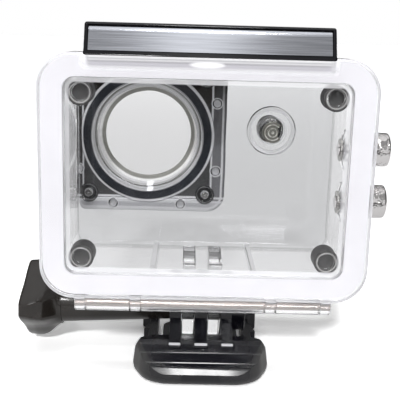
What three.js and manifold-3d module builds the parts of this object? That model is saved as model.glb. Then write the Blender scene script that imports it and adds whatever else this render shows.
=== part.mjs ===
// Underwater camera housing: a clear case with a hinged rear door, a latch across its top,
// four sealed push buttons and a round front port, held on a quick-release buckle by a thumb screw.
// Millimetres, +X to the right as the door is seen, +Y forward through the port, +Z up.
// The origin is on the underside of the buckle, straight below the thumb screw's axis.
import * as THREE from "three";
import { mergeVertices } from "three/addons/utils/BufferGeometryUtils.js";
import Module from "manifold-3d";

const wasm = await Module();
wasm.setup();

// Clearances between pieces that rest on each other and between pieces that run on each other
const fitGap = 0.3;
const runGap = 0.15;
const overrun = 5;
const weldDistance = 0.0001;

// Faces on round work
const roundFaces = 28;
const smallFaces = 16;
const studFaces = 8;
const sealSides = 5;
const cornerSteps = 3;

// Space for the camera and the walls round it
const cavityWidth = 61.7;
const cavityHeight = 43.6;
const cavityDepth = 26.3;
const cavityCorner = 3;
const shellWall = 2.2;
const floorRibSpacing = 22.8;
const floorRibWidth = 1.5;
const floorRibHeight = 0.6;

// Rear flange, door and the seal between them
const flangeSideRim = 2.45;
const flangeTopRim = 2.3;
const flangeCorner = 7.3;
const flangeThickness = 3;
const sealSpace = 1.7;
const doorThickness = 2.2;
const plugClearance = 0.6;
const plugDepth = 0.8;
const gasketInset = 0.5;
const beadWidth = 1.4;
const beadHeight = 0.6;

// Rubber pads that hold the camera forward, pushed over studs on the door
const padInset = 3.3;
const padWall = 0.7;
const padLength = 5.3;
const padEdge = 0.4;
const studRadius = 1.9;
const studHeight = 1.8;

// Door hinge
const hingeBarrelRadius = 1.9;
const hingePinRadius = 1;
const hingeSunk = 0.15;
const hingeLugWidth = 2.3;
const hingeCentreLength = 27.2;

// Latch: pivot over the front of the case, arm, and the bar that hooks over the door's lip
const latchPivotBehindFront = 5;
const latchPivotAboveCase = 4;
const latchPivotRadius = 2.4;
const latchPinRadius = 1;
const latchEarWidth = 2.4;
const latchEarFlare = 2.4;
const latchArmWidth = 20;
const latchArmThickness = 2.6;
const latchArmLift = 0.4;
const latchBarInset = 10;
const latchBarHeight = 6.3;
const latchBarDrop = 0.2;
const latchBarBehindDoor = 2.5;
const latchBarLean = 2.8;
const latchBarDepth = 6.2;
const latchBarRound = 0.9;
const latchShoulderLength = 4.5;
const latchPlateThickness = 0.6;
const latchPlateMargin = 0.75;
const lipInset = 5.5;
const lipHeight = 1.55;
const latchOpeningDegrees = 130;
const doorOpeningDegrees = 100;

// Front port, its window and the window's gasket
const portBoreRadius = 12.3;
const portWall = 1.2;
const portReach = 4.7;
const windowThickness = 1.9;
const windowEdge = 0.3;
const windowGasketReach = 1.5;
const windowGasketThickness = 0.85;

// Bezel that clamps the window, its screws and its locating pegs
const bezelMargin = 2.6;
const bezelSideOverhang = 0.05;
const bezelTopOverhang = 0.2;
const bezelCorner = 4.5;
const bezelThickness = 3.9;
const bezelRimWidth = 2.9;
const bezelRecess = 0.8;
const bezelRingWall = 2.5;
const bezelRingTaper = 0.8;
const bezelLipReach = 2;
const bezelLipThickness = 1;
const bossHeight = 2;
const bossRadius = 2.1;
const screwInset = 4.3;
const screwRadius = 0.75;
const screwHeadRadius = 1.7;
const screwHeadHeight = 0.9;
const screwSink = 0.2;
const screwLength = 3.6;
const pegRadius = 0.9;
const pegInset = 1.8;
const pegSpacing = 16.9;

// Push buttons: one in front, one on top, two at the right side
const buttonTravel = 1.3;
const capHeight = 3.8;
const capWall = 1.03;
const frontCapWall = 0.48;
const capEdge = 0.5;
const capRecessDepth = 1.6;
const stemRadius = 1.4;
const stemReach = 1.15;
const collarHeight = 3;
const collarWall = 1.78;
const frontCollarWall = 3.18;
const sealPlay = 0.19;
const glandDepth = 1.3;
const sealSection = 0.76;
const springRadius = 2.45;
const springWire = 0.44;
const springTurns = 4;
const springStepsPerTurn = 8;
const springSides = 5;
const clipReach = 1.2;
const clipThickness = 0.4;
const clipPlay = 0.08;
const clipGrooveDepth = 0.45;
const clipMouthDegrees = 80;
const frontButtonBesideBezel = 11.8;
const frontButtonAbovePort = 2;
const topButtonBesideLatch = 1.85;
const topButtonY = 13;
const sideButtonY = 11;
const sideButtonSpacing = 12.1;
const sideButtonDrop = 0.35;

// Bolted joint between the case and the buckle
const boltBehindFront = 8;
const boltBelowCase = 12;
const prongClearance = 0.35;
const boltRadius = 2.5;
const prongRadius = 7.5;
const prongThickness = 3;
const outerProngThickness = 2.7;
const prongFlare = 2.2;
const nutBossRadius = 6.2;
const nutBossThickness = 3.4;
const nutAcrossFlats = 8;
const nutThickness = 3;

// Thumb screw
const sleeveEndRadius = 3.8;
const sleeveKnobRadius = 5;
const knobReach = 44.1;
const knobThickness = 9.8;
const knobMeanRadius = 8.4;
const knobLobe = 2.2;
const knobLobes = 3;
const knobTurnDegrees = 100;
const knobPoints = 36;
const knobWall = 3;

// Quick-release buckle
const baseThickness = 4.4;
const baseWidth = 18.8;
const baseFlare = 1;
const baseCorner = 2;
const footBehindProngs = 2;
const footLength = 11.2;
const footCheekLength = 8.3;
const footOverhang = 2.9;
const footRearTaper = 6;
const footFrontTaper = 2.9;
const footFrontCorner = 1.6;
const footUnderRound = 2.6;
const footShoulder = 6.4;
const footTop = 8.2;
const footRearLean = 1.7;
const footSideLean = 1.7;
const footTopTaper = 2.4;
const footShoulderShare = 0.3;
const footCornerWideShare = 0.62;
const footCornerLongShare = 0.3;
const footNose = 4.4;
const footNoseRound = 1.3;
const ribDepth = 0.45;
const ribCount = 3;
const fingerGap = 1.3;
const fingerWidth = 2.3;
const fingerHeight = 3.8;
const fingerLift = 0.4;
const fingerTip = 15.3;
const barbRear = 4;
const barbLength = 5;
const barbReach = 1.5;
const tabLength = 3.6;
const tabReach = 2.2;
const tabHeight = 5.2;

// Places that follow from the sizes above, in the case's own frame,
// whose origin is the centre of the cavity's mouth
const quarterTurn = Math.PI / 2;
const frontFace = cavityDepth + shellWall;
const caseHalfWidth = cavityWidth / 2 + shellWall;
const caseHalfHeight = cavityHeight / 2 + shellWall;
const flangeWidth = 2 * (caseHalfWidth + flangeSideRim);
const flangeHeight = 2 * (caseHalfHeight + flangeTopRim);
const flangeTop = flangeHeight / 2;
const latchBarWidth = flangeWidth - 2 * latchBarInset;
const lipWidth = latchBarWidth - 2 * lipInset;
const latchPivotY = frontFace - latchPivotBehindFront;
const padRadius = studRadius + runGap + padWall;
const doorInner = -sealSpace;
const doorOuter = doorInner - doorThickness;
const hingeY = -sealSpace / 2;
const hingeBelowFlange = hingeBarrelRadius - hingeSunk;
const hingeZ = -flangeTop - hingeBelowFlange;
const latchPivotZ = caseHalfHeight + latchPivotAboveCase;
const barrelRadius = portBoreRadius + portWall;
const windowSightRadius = portBoreRadius - windowGasketReach;
const bezelRingRadius = barrelRadius + fitGap + bezelRingWall;
const bezelLipRadius = barrelRadius - bezelLipReach;
const bezelSide = 2 * (bezelRingRadius + bezelMargin);
const portX = bezelSide / 2 - caseHalfWidth - bezelSideOverhang;
const portZ = caseHalfHeight + bezelTopOverhang - bezelSide / 2;
const barrelEnd = frontFace + portReach;
const windowBack = barrelEnd + runGap + windowGasketThickness + runGap;
const windowFront = windowBack + windowThickness;
const bezelBack = frontFace + fitGap;
const bezelFront = bezelBack + bezelThickness;
const screwSeat = bezelFront - screwHeadHeight - screwSink;
const screwTip = screwSeat + runGap - screwLength;
const boltY = frontFace - boltBehindFront;
const boltZ = -caseHalfHeight - boltBelowCase;
const boltHeight = baseThickness + prongClearance + prongRadius;
const caseProngMiddle = prongThickness + runGap;
const outerProngFace = caseProngMiddle + prongThickness / 2 + runGap;
const stackHalf = outerProngFace + outerProngThickness;
const springPocketRadius = springRadius + springWire / 2 + runGap;
const collarRadius = springPocketRadius + collarWall;
const capRadius = springPocketRadius + capWall;
const glandRadius = stemRadius + sealSection + sealPlay;
const clipRadius = stemRadius + clipReach;
const glandFloor = fitGap - glandDepth;
const capRim = collarHeight + buttonTravel + fitGap;
const clipOuter = -shellWall - fitGap;

// Finishes
function finish(color, roughness, metalness, opacity = 1) {
  const transparent = opacity < 1;
  const settings = { color, roughness, metalness, opacity, transparent, flatShading: true };
  return new THREE.MeshStandardMaterial(settings);
}
const clearPlastic = finish(0xe8eaee, 0.06, 0, 0.35);
const glass = finish(0xf2f4f5, 0.02, 0, 0.3);
const whiteSilicone = finish(0xf4f2f8, 0.5, 0);
const greyRubber = finish(0x4a4a49, 0.75, 0);
const blackPlastic = finish(0x17181a, 0.2, 0);
const mattePlastic = finish(0x35312e, 0.6, 0);
const smokedPlastic = finish(0x2c3036, 0.2, 0);
const brushedMetal = finish(0xaeb0b8, 0.3, 1);
const chrome = finish(0xd6d6d8, 0.1, 1);
const steel = finish(0xb9b7b2, 0.3, 1);

// A closed geometry as a solid that can be joined and cut
function solid(geometry) {
  const bare = geometry.index ? geometry.toNonIndexed() : geometry.clone();
  bare.deleteAttribute("normal");
  bare.deleteAttribute("uv");
  const merged = mergeVertices(bare, weldDistance);
  const corners = merged.index.array;
  const kept = [];
  for (let i = 0; i < corners.length; i += 3) {
    const [a, b, c] = corners.slice(i, i + 3);
    if (a !== b && b !== c && c !== a) kept.push(a, b, c);
  }
  const vertProperties = merged.attributes.position.array;
  const triVerts = new Uint32Array(kept);
  return new wasm.Manifold(new wasm.Mesh({ numProp: 3, vertProperties, triVerts }));
}
function join(bodies) {
  return bodies.reduce((sum, body) => sum.add(body));
}

// A named mesh of a solid
function piece(name, body, material) {
  const made = body.getMesh();
  const geometry = new THREE.BufferGeometry();
  geometry.setAttribute("position", new THREE.BufferAttribute(made.vertProperties, 3));
  geometry.setIndex(new THREE.BufferAttribute(made.triVerts, 1));
  geometry.computeVertexNormals();
  const mesh = new THREE.Mesh(geometry, material);
  mesh.name = name;
  return mesh;
}

// Turns of the axes, which point an extrusion or a lathe's axis where it is wanted
const axisX = new THREE.Vector3(1, 0, 0);
const axisY = new THREE.Vector3(0, 1, 0);
const axisZ = new THREE.Vector3(0, 0, 1);
const extrudeAlongX = new THREE.Matrix4().makeBasis(axisY, axisZ, axisX);
const latheAlongZ = extrudeAlongX;
const latheAlongX = new THREE.Matrix4().makeBasis(axisZ, axisX, axisY);

// Slabs: an outline swept straight along one axis from one place to another
function sweep(outline, length) {
  const settings = { depth: length, bevelEnabled: false, curveSegments: cornerSteps };
  return new THREE.ExtrudeGeometry(outline, settings);
}
function slabX(outline, from, to) {
  return solid(sweep(outline, to - from).applyMatrix4(extrudeAlongX).translate(from, 0, 0));
}
function slabY(outline, from, to) {
  return solid(sweep(outline, to - from).rotateX(quarterTurn).translate(0, to, 0));
}
function slabZ(outline, from, to) {
  return solid(sweep(outline, to - from).translate(0, 0, from));
}
function block(low, high) {
  const size = high.map((value, i) => value - low[i]);
  const middle = high.map((value, i) => (value + low[i]) / 2);
  return solid(new THREE.BoxGeometry(...size).translate(...middle));
}

// Round bodies, turned from a profile of radius and height
function turned(profile, faces, turn = new THREE.Matrix4()) {
  const points = profile.map(([radius, height]) => new THREE.Vector2(radius, height));
  return solid(new THREE.LatheGeometry(points, faces).applyMatrix4(turn));
}
function rodProfile(radius, from, to) {
  return [[0, from], [radius, from], [radius, to], [0, to]];
}
function tubeProfile(inner, outer, from, to) {
  return [[inner, from], [outer, from], [outer, to], [inner, to], [inner, from]];
}
function rodX(radius, from, to, y, z, faces = smallFaces) {
  const turn = new THREE.Matrix4().makeTranslation(0, y, z).multiply(latheAlongX);
  return turned(rodProfile(radius, from, to), faces, turn);
}
function rodY(radius, from, to, x, z, faces = smallFaces) {
  return turned(rodProfile(radius, from, to), faces, new THREE.Matrix4().makeTranslation(x, 0, z));
}

// Outlines
function polygon(points) {
  return new THREE.Shape(points.map(([a, b]) => new THREE.Vector2(a, b)));
}
function roundedRectangle(width, height, corner) {
  const shape = new THREE.Shape();
  const a = width / 2 - corner;
  const b = height / 2 - corner;
  shape.absarc(a, b, corner, 0, quarterTurn);
  shape.absarc(-a, b, corner, quarterTurn, 2 * quarterTurn);
  shape.absarc(-a, -b, corner, 2 * quarterTurn, 3 * quarterTurn);
  shape.absarc(a, -b, corner, 3 * quarterTurn, 4 * quarterTurn);
  return shape;
}

// A skin over rings of points, each with the same count, closed by a flat fan at both ends
function loft(rings) {
  const count = rings[0].length;
  const last = rings.length - 1;
  const middle = (ring) => [0, 1, 2].map((k) => ring.reduce((sum, point) => sum + point[k], 0) / count);
  const points = [...rings.flat(), middle(rings[0]), middle(rings[last])];
  const [startFan, endFan] = [points.length - 2, points.length - 1];
  const faces = [];
  for (let i = 0; i < count; i++) {
    const j = (i + 1) % count;
    faces.push(startFan, j, i, endFan, last * count + i, last * count + j);
    for (let r = 0; r < last; r++) {
      const [a, b] = [r * count + i, r * count + j];
      faces.push(a, b, b + count, a, b + count, a + count);
    }
  }
  const geometry = new THREE.BufferGeometry();
  geometry.setAttribute("position", new THREE.Float32BufferAttribute(points.flat(), 3));
  geometry.setIndex(faces);
  return solid(geometry);
}

// Push button sites on the case; local +Z points out of the wall
const wideSite = { collar: collarRadius, cap: capRadius };
const buttonSites = {
  front_button: {
    place: [portX + bezelSide / 2 + frontButtonBesideBezel, frontFace, portZ + frontButtonAbovePort],
    turn: [-quarterTurn, 0, 0],
    collar: springPocketRadius + frontCollarWall,
    cap: springPocketRadius + frontCapWall,
  },
  top_button: { ...wideSite, place: topPlace(), turn: [0, 0, 0] },
  upper_side_button: { ...wideSite, place: sidePlace(1), turn: [0, quarterTurn, 0] },
  lower_side_button: { ...wideSite, place: sidePlace(-1), turn: [0, quarterTurn, 0] },
};
function topPlace() {
  return [latchArmWidth / 2 + topButtonBesideLatch + capRadius, topButtonY, caseHalfHeight];
}
function sidePlace(side) {
  return [caseHalfWidth, sideButtonY, (side * sideButtonSpacing) / 2 - sideButtonDrop];
}
function siteTurn({ place, turn }) {
  const matrix = new THREE.Matrix4().makeRotationFromEuler(new THREE.Euler(...turn));
  return matrix.setPosition(...place).multiply(latheAlongZ);
}
function buttonCollar(site) {
  return turned(rodProfile(site.collar, -shellWall / 2, collarHeight), roundFaces, siteTurn(site));
}
function buttonBore(site) {
  const bore = stemRadius + runGap;
  const profile = [
    [0, -shellWall - overrun],
    [bore, -shellWall - overrun],
    [bore, glandFloor],
    [glandRadius, glandFloor],
    [glandRadius, fitGap],
    [springPocketRadius, fitGap],
    [springPocketRadius, collarHeight + overrun],
    [0, collarHeight + overrun],
  ];
  return turned(profile, smallFaces, siteTurn(site));
}

// Places of the bezel's screws and locating pegs, as [x, z] on the front wall
function screwPlaces() {
  const half = bezelSide / 2 - screwInset;
  const corners = [[-half, half], [half, half], [half, -half], [-half, -half]];
  return corners.map(([dx, dz]) => [portX + dx, portZ + dz]);
}
function pegPlaces() {
  const edge = bezelSide / 2 - pegInset;
  const step = pegSpacing / 2;
  const side = [[edge, step], [edge, -step], [-edge, step], [-edge, -step]];
  const ends = side.map(([dx, dz]) => [dz, dx]);
  return [...side, ...ends].map(([dx, dz]) => [portX + dx, portZ + dz]);
}
function studs(radius, from, to, places, faces) {
  return join(places.map(([x, z]) => rodY(radius, from, to, x, z, faces)));
}

// Clear case: tub, rear flange, port barrel, collars, latch ears, hinge barrels and mounting prongs
function frontShell() {
  const wallMiddle = cavityDepth + shellWall / 2;
  const tub = roundedRectangle(2 * caseHalfWidth, 2 * caseHalfHeight, cavityCorner + shellWall);
  const cavity = roundedRectangle(cavityWidth, cavityHeight, cavityCorner);
  const added = [
    slabY(roundedRectangle(flangeWidth, flangeHeight, flangeCorner), 0, flangeThickness),
    rodY(barrelRadius, wallMiddle, barrelEnd, portX, portZ, roundFaces),
    studs(bossRadius, wallMiddle, frontFace + bossHeight, screwPlaces(), studFaces),
    studs(pegRadius, wallMiddle, frontFace + bossHeight, pegPlaces(), studFaces),
    ...Object.values(buttonSites).map(buttonCollar),
    ...hingeStretches().barrels.map(hingeBarrel),
    ...[-1, 1].map(latchEar),
    ...[-1, 1].map(caseProng),
  ];
  const cut = [
    slabY(cavity, -overrun, cavityDepth),
    rodY(portBoreRadius, 0, barrelEnd + overrun, portX, portZ, roundFaces),
    studs(screwRadius + runGap, screwTip - runGap, barrelEnd, screwPlaces(), studFaces),
    ...Object.values(buttonSites).map(buttonBore),
    ...hingeStretches().lugs.map(([from, to]) => hingeClearance(from - runGap, to + runGap)),
    hingeBore(),
    beadRing(beadWidth + 2 * fitGap, -overrun, beadHeight + runGap),
    crossBore(latchPinRadius + runGap, latchPivotY, latchPivotZ),
    crossBore(boltRadius + runGap, boltY, boltZ),
  ];
  const walls = join([slabY(tub, 0, frontFace), ...added]);
  return walls.subtract(join(cut)).add(floorRibs());
}

// Two low ribs along the cavity's floor, which the camera stands on
function floorRibs() {
  const floor = -cavityHeight / 2;
  const ribs = [-floorRibSpacing / 2, floorRibSpacing / 2].map((x) =>
    block(
      [x - floorRibWidth / 2, flangeThickness, floor - shellWall / 2],
      [x + floorRibWidth / 2, cavityDepth + shellWall / 2, floor + floorRibHeight],
    ),
  );
  return join(ribs);
}

// A hole right across the piece along X
function crossBore(radius, y, z) {
  return rodX(radius, -flangeWidth, flangeWidth, y, z);
}

// The door hinge along X, where barrels of the case and lugs of the door take turns
function hingeStretches() {
  const middle = hingeCentreLength / 2;
  const end = flangeWidth / 2 - flangeCorner;
  const firstLug = [middle + runGap, middle + runGap + hingeLugWidth];
  const lastLug = [end - hingeLugWidth, end];
  const side = [firstLug[1] + runGap, lastLug[0] - runGap];
  const mirrored = ([from, to]) => [-to, -from];
  return {
    barrels: [[-middle, middle], side, mirrored(side)],
    lugs: [firstLug, lastLug, mirrored(firstLug), mirrored(lastLug)],
    end,
  };
}
function hingeBarrel([from, to]) {
  const low = hingeZ - hingeBarrelRadius;
  const web = polygon([
    [hingeY, low],
    [flangeThickness, -flangeTop - hingeBelowFlange / 2],
    [flangeThickness, -flangeTop + flangeThickness / 2],
    [0, -flangeTop + flangeThickness / 2],
    [0, -flangeTop],
    [hingeY, -flangeTop],
  ]);
  return rodX(hingeBarrelRadius, from, to, hingeY, hingeZ).add(slabX(web, from, to));
}
function hingeLug([from, to]) {
  const web = polygon([
    [hingeY - hingeBarrelRadius, hingeZ],
    [hingeY, hingeZ],
    [hingeY, -flangeTop],
    [doorInner, -flangeTop],
    [doorInner, -flangeTop + doorThickness / 2],
    [doorOuter, -flangeTop + doorThickness / 2],
    [doorOuter, -flangeTop],
  ]);
  return rodX(hingeBarrelRadius, from, to, hingeY, hingeZ).add(slabX(web, from, to));
}
function hingeClearance(from, to) {
  return rodX(hingeBarrelRadius + fitGap, from, to, hingeY, hingeZ);
}
function hingeBore() {
  return crossBore(hingePinRadius + runGap, hingeY, hingeZ);
}

// One of the two ears that carry the latch's pin
function latchEar(side) {
  const near = side * (latchArmWidth / 2 + runGap);
  const far = near + side * latchEarWidth;
  const [from, to] = [Math.min(near, far), Math.max(near, far)];
  const root = caseHalfHeight - shellWall / 2;
  const cheek = polygon([
    [latchPivotY - latchPivotRadius - latchEarFlare, root],
    [latchPivotY + latchPivotRadius, root],
    [latchPivotY + latchPivotRadius, latchPivotZ],
    [latchPivotY - latchPivotRadius, latchPivotZ],
  ]);
  return rodX(latchPivotRadius, from, to, latchPivotY, latchPivotZ).add(slabX(cheek, from, to));
}

// One of the case's two prongs, which stand between the buckle's three
function caseProng(side) {
  const middle = side * caseProngMiddle;
  const [from, to] = [middle - prongThickness / 2, middle + prongThickness / 2];
  const [rear, front] = [boltY - prongRadius, boltY + prongRadius];
  const high = -caseHalfHeight;
  const stem = polygon([
    [rear, boltZ],
    [front, boltZ],
    [front, high + shellWall / 2],
    [rear - prongFlare, high + shellWall / 2],
    [rear - prongFlare, high],
    [rear, high - prongFlare],
  ]);
  const eye = rodX(prongRadius, from, to, boltY, boltZ, roundFaces);
  return eye.add(slabX(stem, from, to));
}

// A ring that follows the flange half way between the cavity and the flange's edge
function beadRing(width, from, to) {
  const outline = (inset) => {
    const size = [flangeWidth - 2 * inset, flangeHeight - 2 * inset];
    return roundedRectangle(...size, flangeCorner - inset);
  };
  const middle = (flangeWidth - cavityWidth) / 4;
  const outer = slabY(outline(middle - width / 2), from, to);
  return outer.subtract(slabY(outline(middle + width / 2), from - overrun, to + overrun));
}

// Door: flat plate, a plug that enters the cavity's mouth, studs for the pads,
// four hinge lugs below and the lip that the latch hooks over
function plugOutline(growth) {
  const width = cavityWidth - 2 * plugClearance + 2 * growth;
  const height = cavityHeight - 2 * plugClearance + 2 * growth;
  return roundedRectangle(width, height, cavityCorner - plugClearance + growth);
}
function padPlaces() {
  const x = cavityWidth / 2 - plugClearance - padInset;
  const z = cavityHeight / 2 - plugClearance - padInset;
  return [[-x, z], [x, z], [x, -z], [-x, -z]];
}
function rearDoor() {
  const stretches = hingeStretches();
  const body = join([
    slabY(roundedRectangle(flangeWidth, flangeHeight, flangeCorner), doorOuter, doorInner),
    slabY(plugOutline(0), doorInner - doorThickness / 2, plugDepth),
    studs(studRadius, doorInner, plugDepth + studHeight, padPlaces(), smallFaces),
    slabX(lipProfile(), -lipWidth / 2, lipWidth / 2),
    ...stretches.lugs.map(hingeLug),
  ]);
  const barrelRoom = stretches.barrels.map(([from, to]) => hingeClearance(from - runGap, to + runGap));
  return body.subtract(join([...barrelRoom, hingeBore()]));
}

// The lip and the hook meet on a ramp, which lies in the direction in which the door's lip
// leaves the hook when the latch lifts and the door follows it
const doorPerLatch = doorOpeningDegrees / latchOpeningDegrees;
const lipCrest = flangeTop + lipHeight;
const rampSlope = (latchPivotY - doorOuter) / ((lipCrest - hingeZ) * doorPerLatch);
const rampGap = fitGap * Math.hypot(1, rampSlope);
function rampHeight(y) {
  return lipCrest + (y - doorInner) * rampSlope;
}
function lipProfile() {
  return polygon([
    [doorOuter, flangeTop - lipHeight],
    [doorInner, flangeTop - lipHeight],
    [doorInner, lipCrest],
    [doorOuter, rampHeight(doorOuter)],
  ]);
}

// White gasket: a flat band round the door's plug with a bead that seats in the flange's groove
function doorGasket() {
  const outer = roundedRectangle(
    flangeWidth - 2 * gasketInset,
    flangeHeight - 2 * gasketInset,
    flangeCorner - gasketInset,
  );
  const band = slabY(outer, doorInner + runGap, -runGap);
  const hole = slabY(plugOutline(runGap), doorInner - overrun, overrun);
  return band.subtract(hole).add(beadRing(beadWidth, doorInner / 2, beadHeight - runGap));
}

// Rubber pad with a blind hole for the door's stud
function doorPad() {
  const hole = studRadius + runGap;
  const holeEnd = studHeight + fitGap;
  return turned(
    [
      [hole, runGap],
      [padRadius, runGap],
      [padRadius, padLength - padEdge],
      [padRadius - padEdge, padLength],
      [0, padLength],
      [0, holeEnd],
      [hole, holeEnd],
      [hole, runGap],
    ],
    smallFaces,
  );
}

// Latch lever: the bar behind the door, the arm over the case and the barrel on its pin
function latchLever() {
  const hookBottom = flangeTop - latchBarDrop;
  const hookTip = doorInner + (hookBottom - lipCrest - rampGap) / rampSlope;
  const rampEnd = doorInner + fitGap;
  const rearBottom = doorOuter - latchBarBehindDoor;
  const rearTop = rearBottom + latchBarLean;
  const top = hookBottom + latchBarHeight;
  const front = rearTop + latchBarDepth;
  const bar = polygon([
    [rearBottom, hookBottom],
    [hookTip, hookBottom],
    [rampEnd, rampHeight(rampEnd) + rampGap],
    [front, rampHeight(rampEnd) + rampGap],
    [front, top - latchBarRound],
    [front - latchBarRound, top],
    [rearTop, top],
  ]);
  const armLow = flangeTop + latchArmLift;
  const armHigh = armLow + latchArmThickness;
  const arm = polygon([
    [rampEnd + fitGap, armLow],
    [latchPivotY, armLow],
    [latchPivotY, armHigh],
    [front + latchShoulderLength, armHigh],
    [front, top - latchBarRound],
    [rampEnd + fitGap, top - latchBarRound],
  ]);
  const halfArm = latchArmWidth / 2;
  const body = join([
    slabX(bar, -latchBarWidth / 2, latchBarWidth / 2),
    slabX(arm, -halfArm, halfArm),
    rodX(latchPivotRadius, -halfArm, halfArm, latchPivotY, latchPivotZ),
  ]);
  const pocket = latchPlate(runGap, overrun);
  return body.subtract(pocket).subtract(crossBore(latchPinRadius + runGap, latchPivotY, latchPivotZ));
}

// Metal plate let into the leaning rear face of the bar, or the pocket for it
function latchPlate(growth, outward) {
  const faceHeight = Math.hypot(latchBarHeight, latchBarLean);
  const halfWidth = latchBarWidth / 2 - latchPlateMargin - runGap + growth;
  const halfHeight = faceHeight / 2 - latchPlateMargin - runGap + growth;
  const lean = Math.atan2(latchBarLean, latchBarHeight);
  const width = 2 * halfWidth;
  const depth = latchPlateThickness + growth + outward;
  const plate = new THREE.BoxGeometry(width, depth, 2 * halfHeight);
  plate.translate(0, latchPlateThickness + growth - depth / 2, 0).rotateX(-lean);
  const rearMiddle = doorOuter - latchBarBehindDoor + latchBarLean / 2;
  return solid(plate.translate(0, rearMiddle, flangeTop - latchBarDrop + latchBarHeight / 2));
}

// Plain pins of the two hinges
function hingePin() {
  const { end } = hingeStretches();
  return rodX(hingePinRadius, -end, end, hingeY, hingeZ);
}
function latchPin() {
  const end = latchArmWidth / 2 + runGap + latchEarWidth;
  return rodX(latchPinRadius, -end, end, latchPivotY, latchPivotZ);
}

// Port glazing, about the port's axis
function portTurn() {
  return new THREE.Matrix4().makeTranslation(portX, 0, portZ);
}
function lensGasket() {
  const from = barrelEnd + runGap;
  const profile = tubeProfile(windowSightRadius, barrelRadius, from, from + windowGasketThickness);
  return turned(profile, roundFaces, portTurn());
}
function lensWindow() {
  const profile = [
    [0, windowBack],
    [barrelRadius, windowBack],
    [barrelRadius, windowFront - windowEdge],
    [barrelRadius - windowEdge, windowFront],
    [0, windowFront],
  ];
  return turned(profile, roundFaces, portTurn());
}

// Bezel: a square plate with a recessed back and a ring that reaches over the window
function lensBezel() {
  const plate = slabY(roundedRectangle(bezelSide, bezelSide, bezelCorner), bezelBack, bezelFront);
  const recessSide = bezelSide - 2 * bezelRimWidth;
  const recess = roundedRectangle(recessSide, recessSide, bezelCorner - bezelRimWidth / 2);
  const lipBack = windowFront + runGap;
  const lipFront = lipBack + bezelLipThickness;
  const ring = [
    [0, bezelBack],
    [bezelRingRadius, bezelBack],
    [bezelRingRadius, lipFront - 2 * bezelRingTaper],
    [bezelRingRadius - bezelRingTaper, lipFront],
    [0, lipFront],
  ];
  const bore = [
    [0, bezelBack - overrun],
    [barrelRadius + fitGap, bezelBack - overrun],
    [barrelRadius + fitGap, lipBack],
    [bezelLipRadius, lipBack],
    [bezelLipRadius + bezelRingTaper, lipFront + runGap],
    [0, lipFront + runGap],
  ];
  const deepRecess = slabY(recess, bezelBack - overrun, bezelBack + bezelRecess);
  const body = plate.subtract(deepRecess).add(turned(ring, roundFaces));
  const placed = body.subtract(turned(bore, roundFaces)).translate(portX, 0, portZ);
  const pocketEnd = frontFace + bossHeight + fitGap;
  const holes = [
    studs(bossRadius + fitGap, bezelBack - overrun, pocketEnd, screwPlaces(), studFaces),
    studs(pegRadius + fitGap, bezelBack - overrun, pocketEnd, pegPlaces(), studFaces),
    studs(screwRadius + runGap, bezelBack, bezelFront, screwPlaces(), studFaces),
    studs(screwHeadRadius + runGap, screwSeat, bezelFront + overrun, screwPlaces(), smallFaces),
  ];
  return placed.subtract(join(holes));
}
function bezelScrew() {
  const head = screwSeat + runGap;
  return turned(
    [
      [0, screwTip],
      [screwRadius, screwTip],
      [screwRadius, head],
      [screwHeadRadius, head],
      [screwHeadRadius, head + screwHeadHeight / 2],
      [screwHeadRadius - screwHeadHeight / 2, head + screwHeadHeight],
      [0, head + screwHeadHeight],
    ],
    studFaces,
  );
}

// Push button: cap and stem in one, with a recess for the spring and a groove for the clip
function buttonCap(radius) {
  const groove = stemRadius - clipGrooveDepth;
  const grooveFrom = clipOuter - clipThickness - clipPlay;
  const top = capRim + capHeight;
  return turned(
    [
      [0, -shellWall - stemReach],
      [stemRadius, -shellWall - stemReach],
      [stemRadius, grooveFrom],
      [groove, grooveFrom],
      [groove, clipOuter + clipPlay],
      [stemRadius, clipOuter + clipPlay],
      [stemRadius, capRim + capRecessDepth],
      [springPocketRadius, capRim + capRecessDepth],
      [springPocketRadius, capRim],
      [radius, capRim],
      [radius, top - capEdge],
      [radius - capEdge, top],
      [0, top],
    ],
    smallFaces,
    latheAlongZ,
  );
}
function buttonSeal() {
  const middle = (stemRadius + glandRadius) / 2;
  const ring = new THREE.TorusGeometry(middle, sealSection / 2, sealSides, smallFaces);
  return solid(ring.translate(0, 0, glandFloor + runGap + sealSection / 2));
}
function buttonClip() {
  const half = (clipMouthDegrees / 2) * (Math.PI / 180);
  const inner = stemRadius - clipGrooveDepth + clipPlay;
  const shape = new THREE.Shape();
  shape.absarc(0, 0, clipRadius, half, 2 * Math.PI - half);
  shape.absarc(0, 0, inner, 2 * Math.PI - half, half, true);
  return slabZ(shape, clipOuter - clipThickness, clipOuter);
}

// Return spring: one wire wound as a helix between the collar's step and the cap
function springPoint(turn) {
  const low = fitGap + runGap + springWire / 2;
  const high = capRim + capRecessDepth - buttonTravel - runGap - springWire / 2;
  const angle = turn * 2 * Math.PI;
  const height = low + ((high - low) * turn) / springTurns;
  return new THREE.Vector3(springRadius * Math.cos(angle), springRadius * Math.sin(angle), height);
}
function springRings() {
  const rings = [];
  const steps = springTurns * springStepsPerTurn;
  for (let i = 0; i <= steps; i++) {
    const centre = springPoint(i / springStepsPerTurn);
    const out = new THREE.Vector3(centre.x, centre.y, 0).normalize();
    rings.push(springSection(centre, out));
  }
  return rings;
}
function springSection(centre, out) {
  const ring = [];
  for (let k = 0; k < springSides; k++) {
    const angle = (-k * 2 * Math.PI) / springSides;
    const across = out.clone().multiplyScalar((springWire / 2) * Math.cos(angle));
    const point = centre.clone().add(across).addScaledVector(axisZ, (springWire / 2) * Math.sin(angle));
    ring.push(point.toArray());
  }
  return ring;
}
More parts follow.
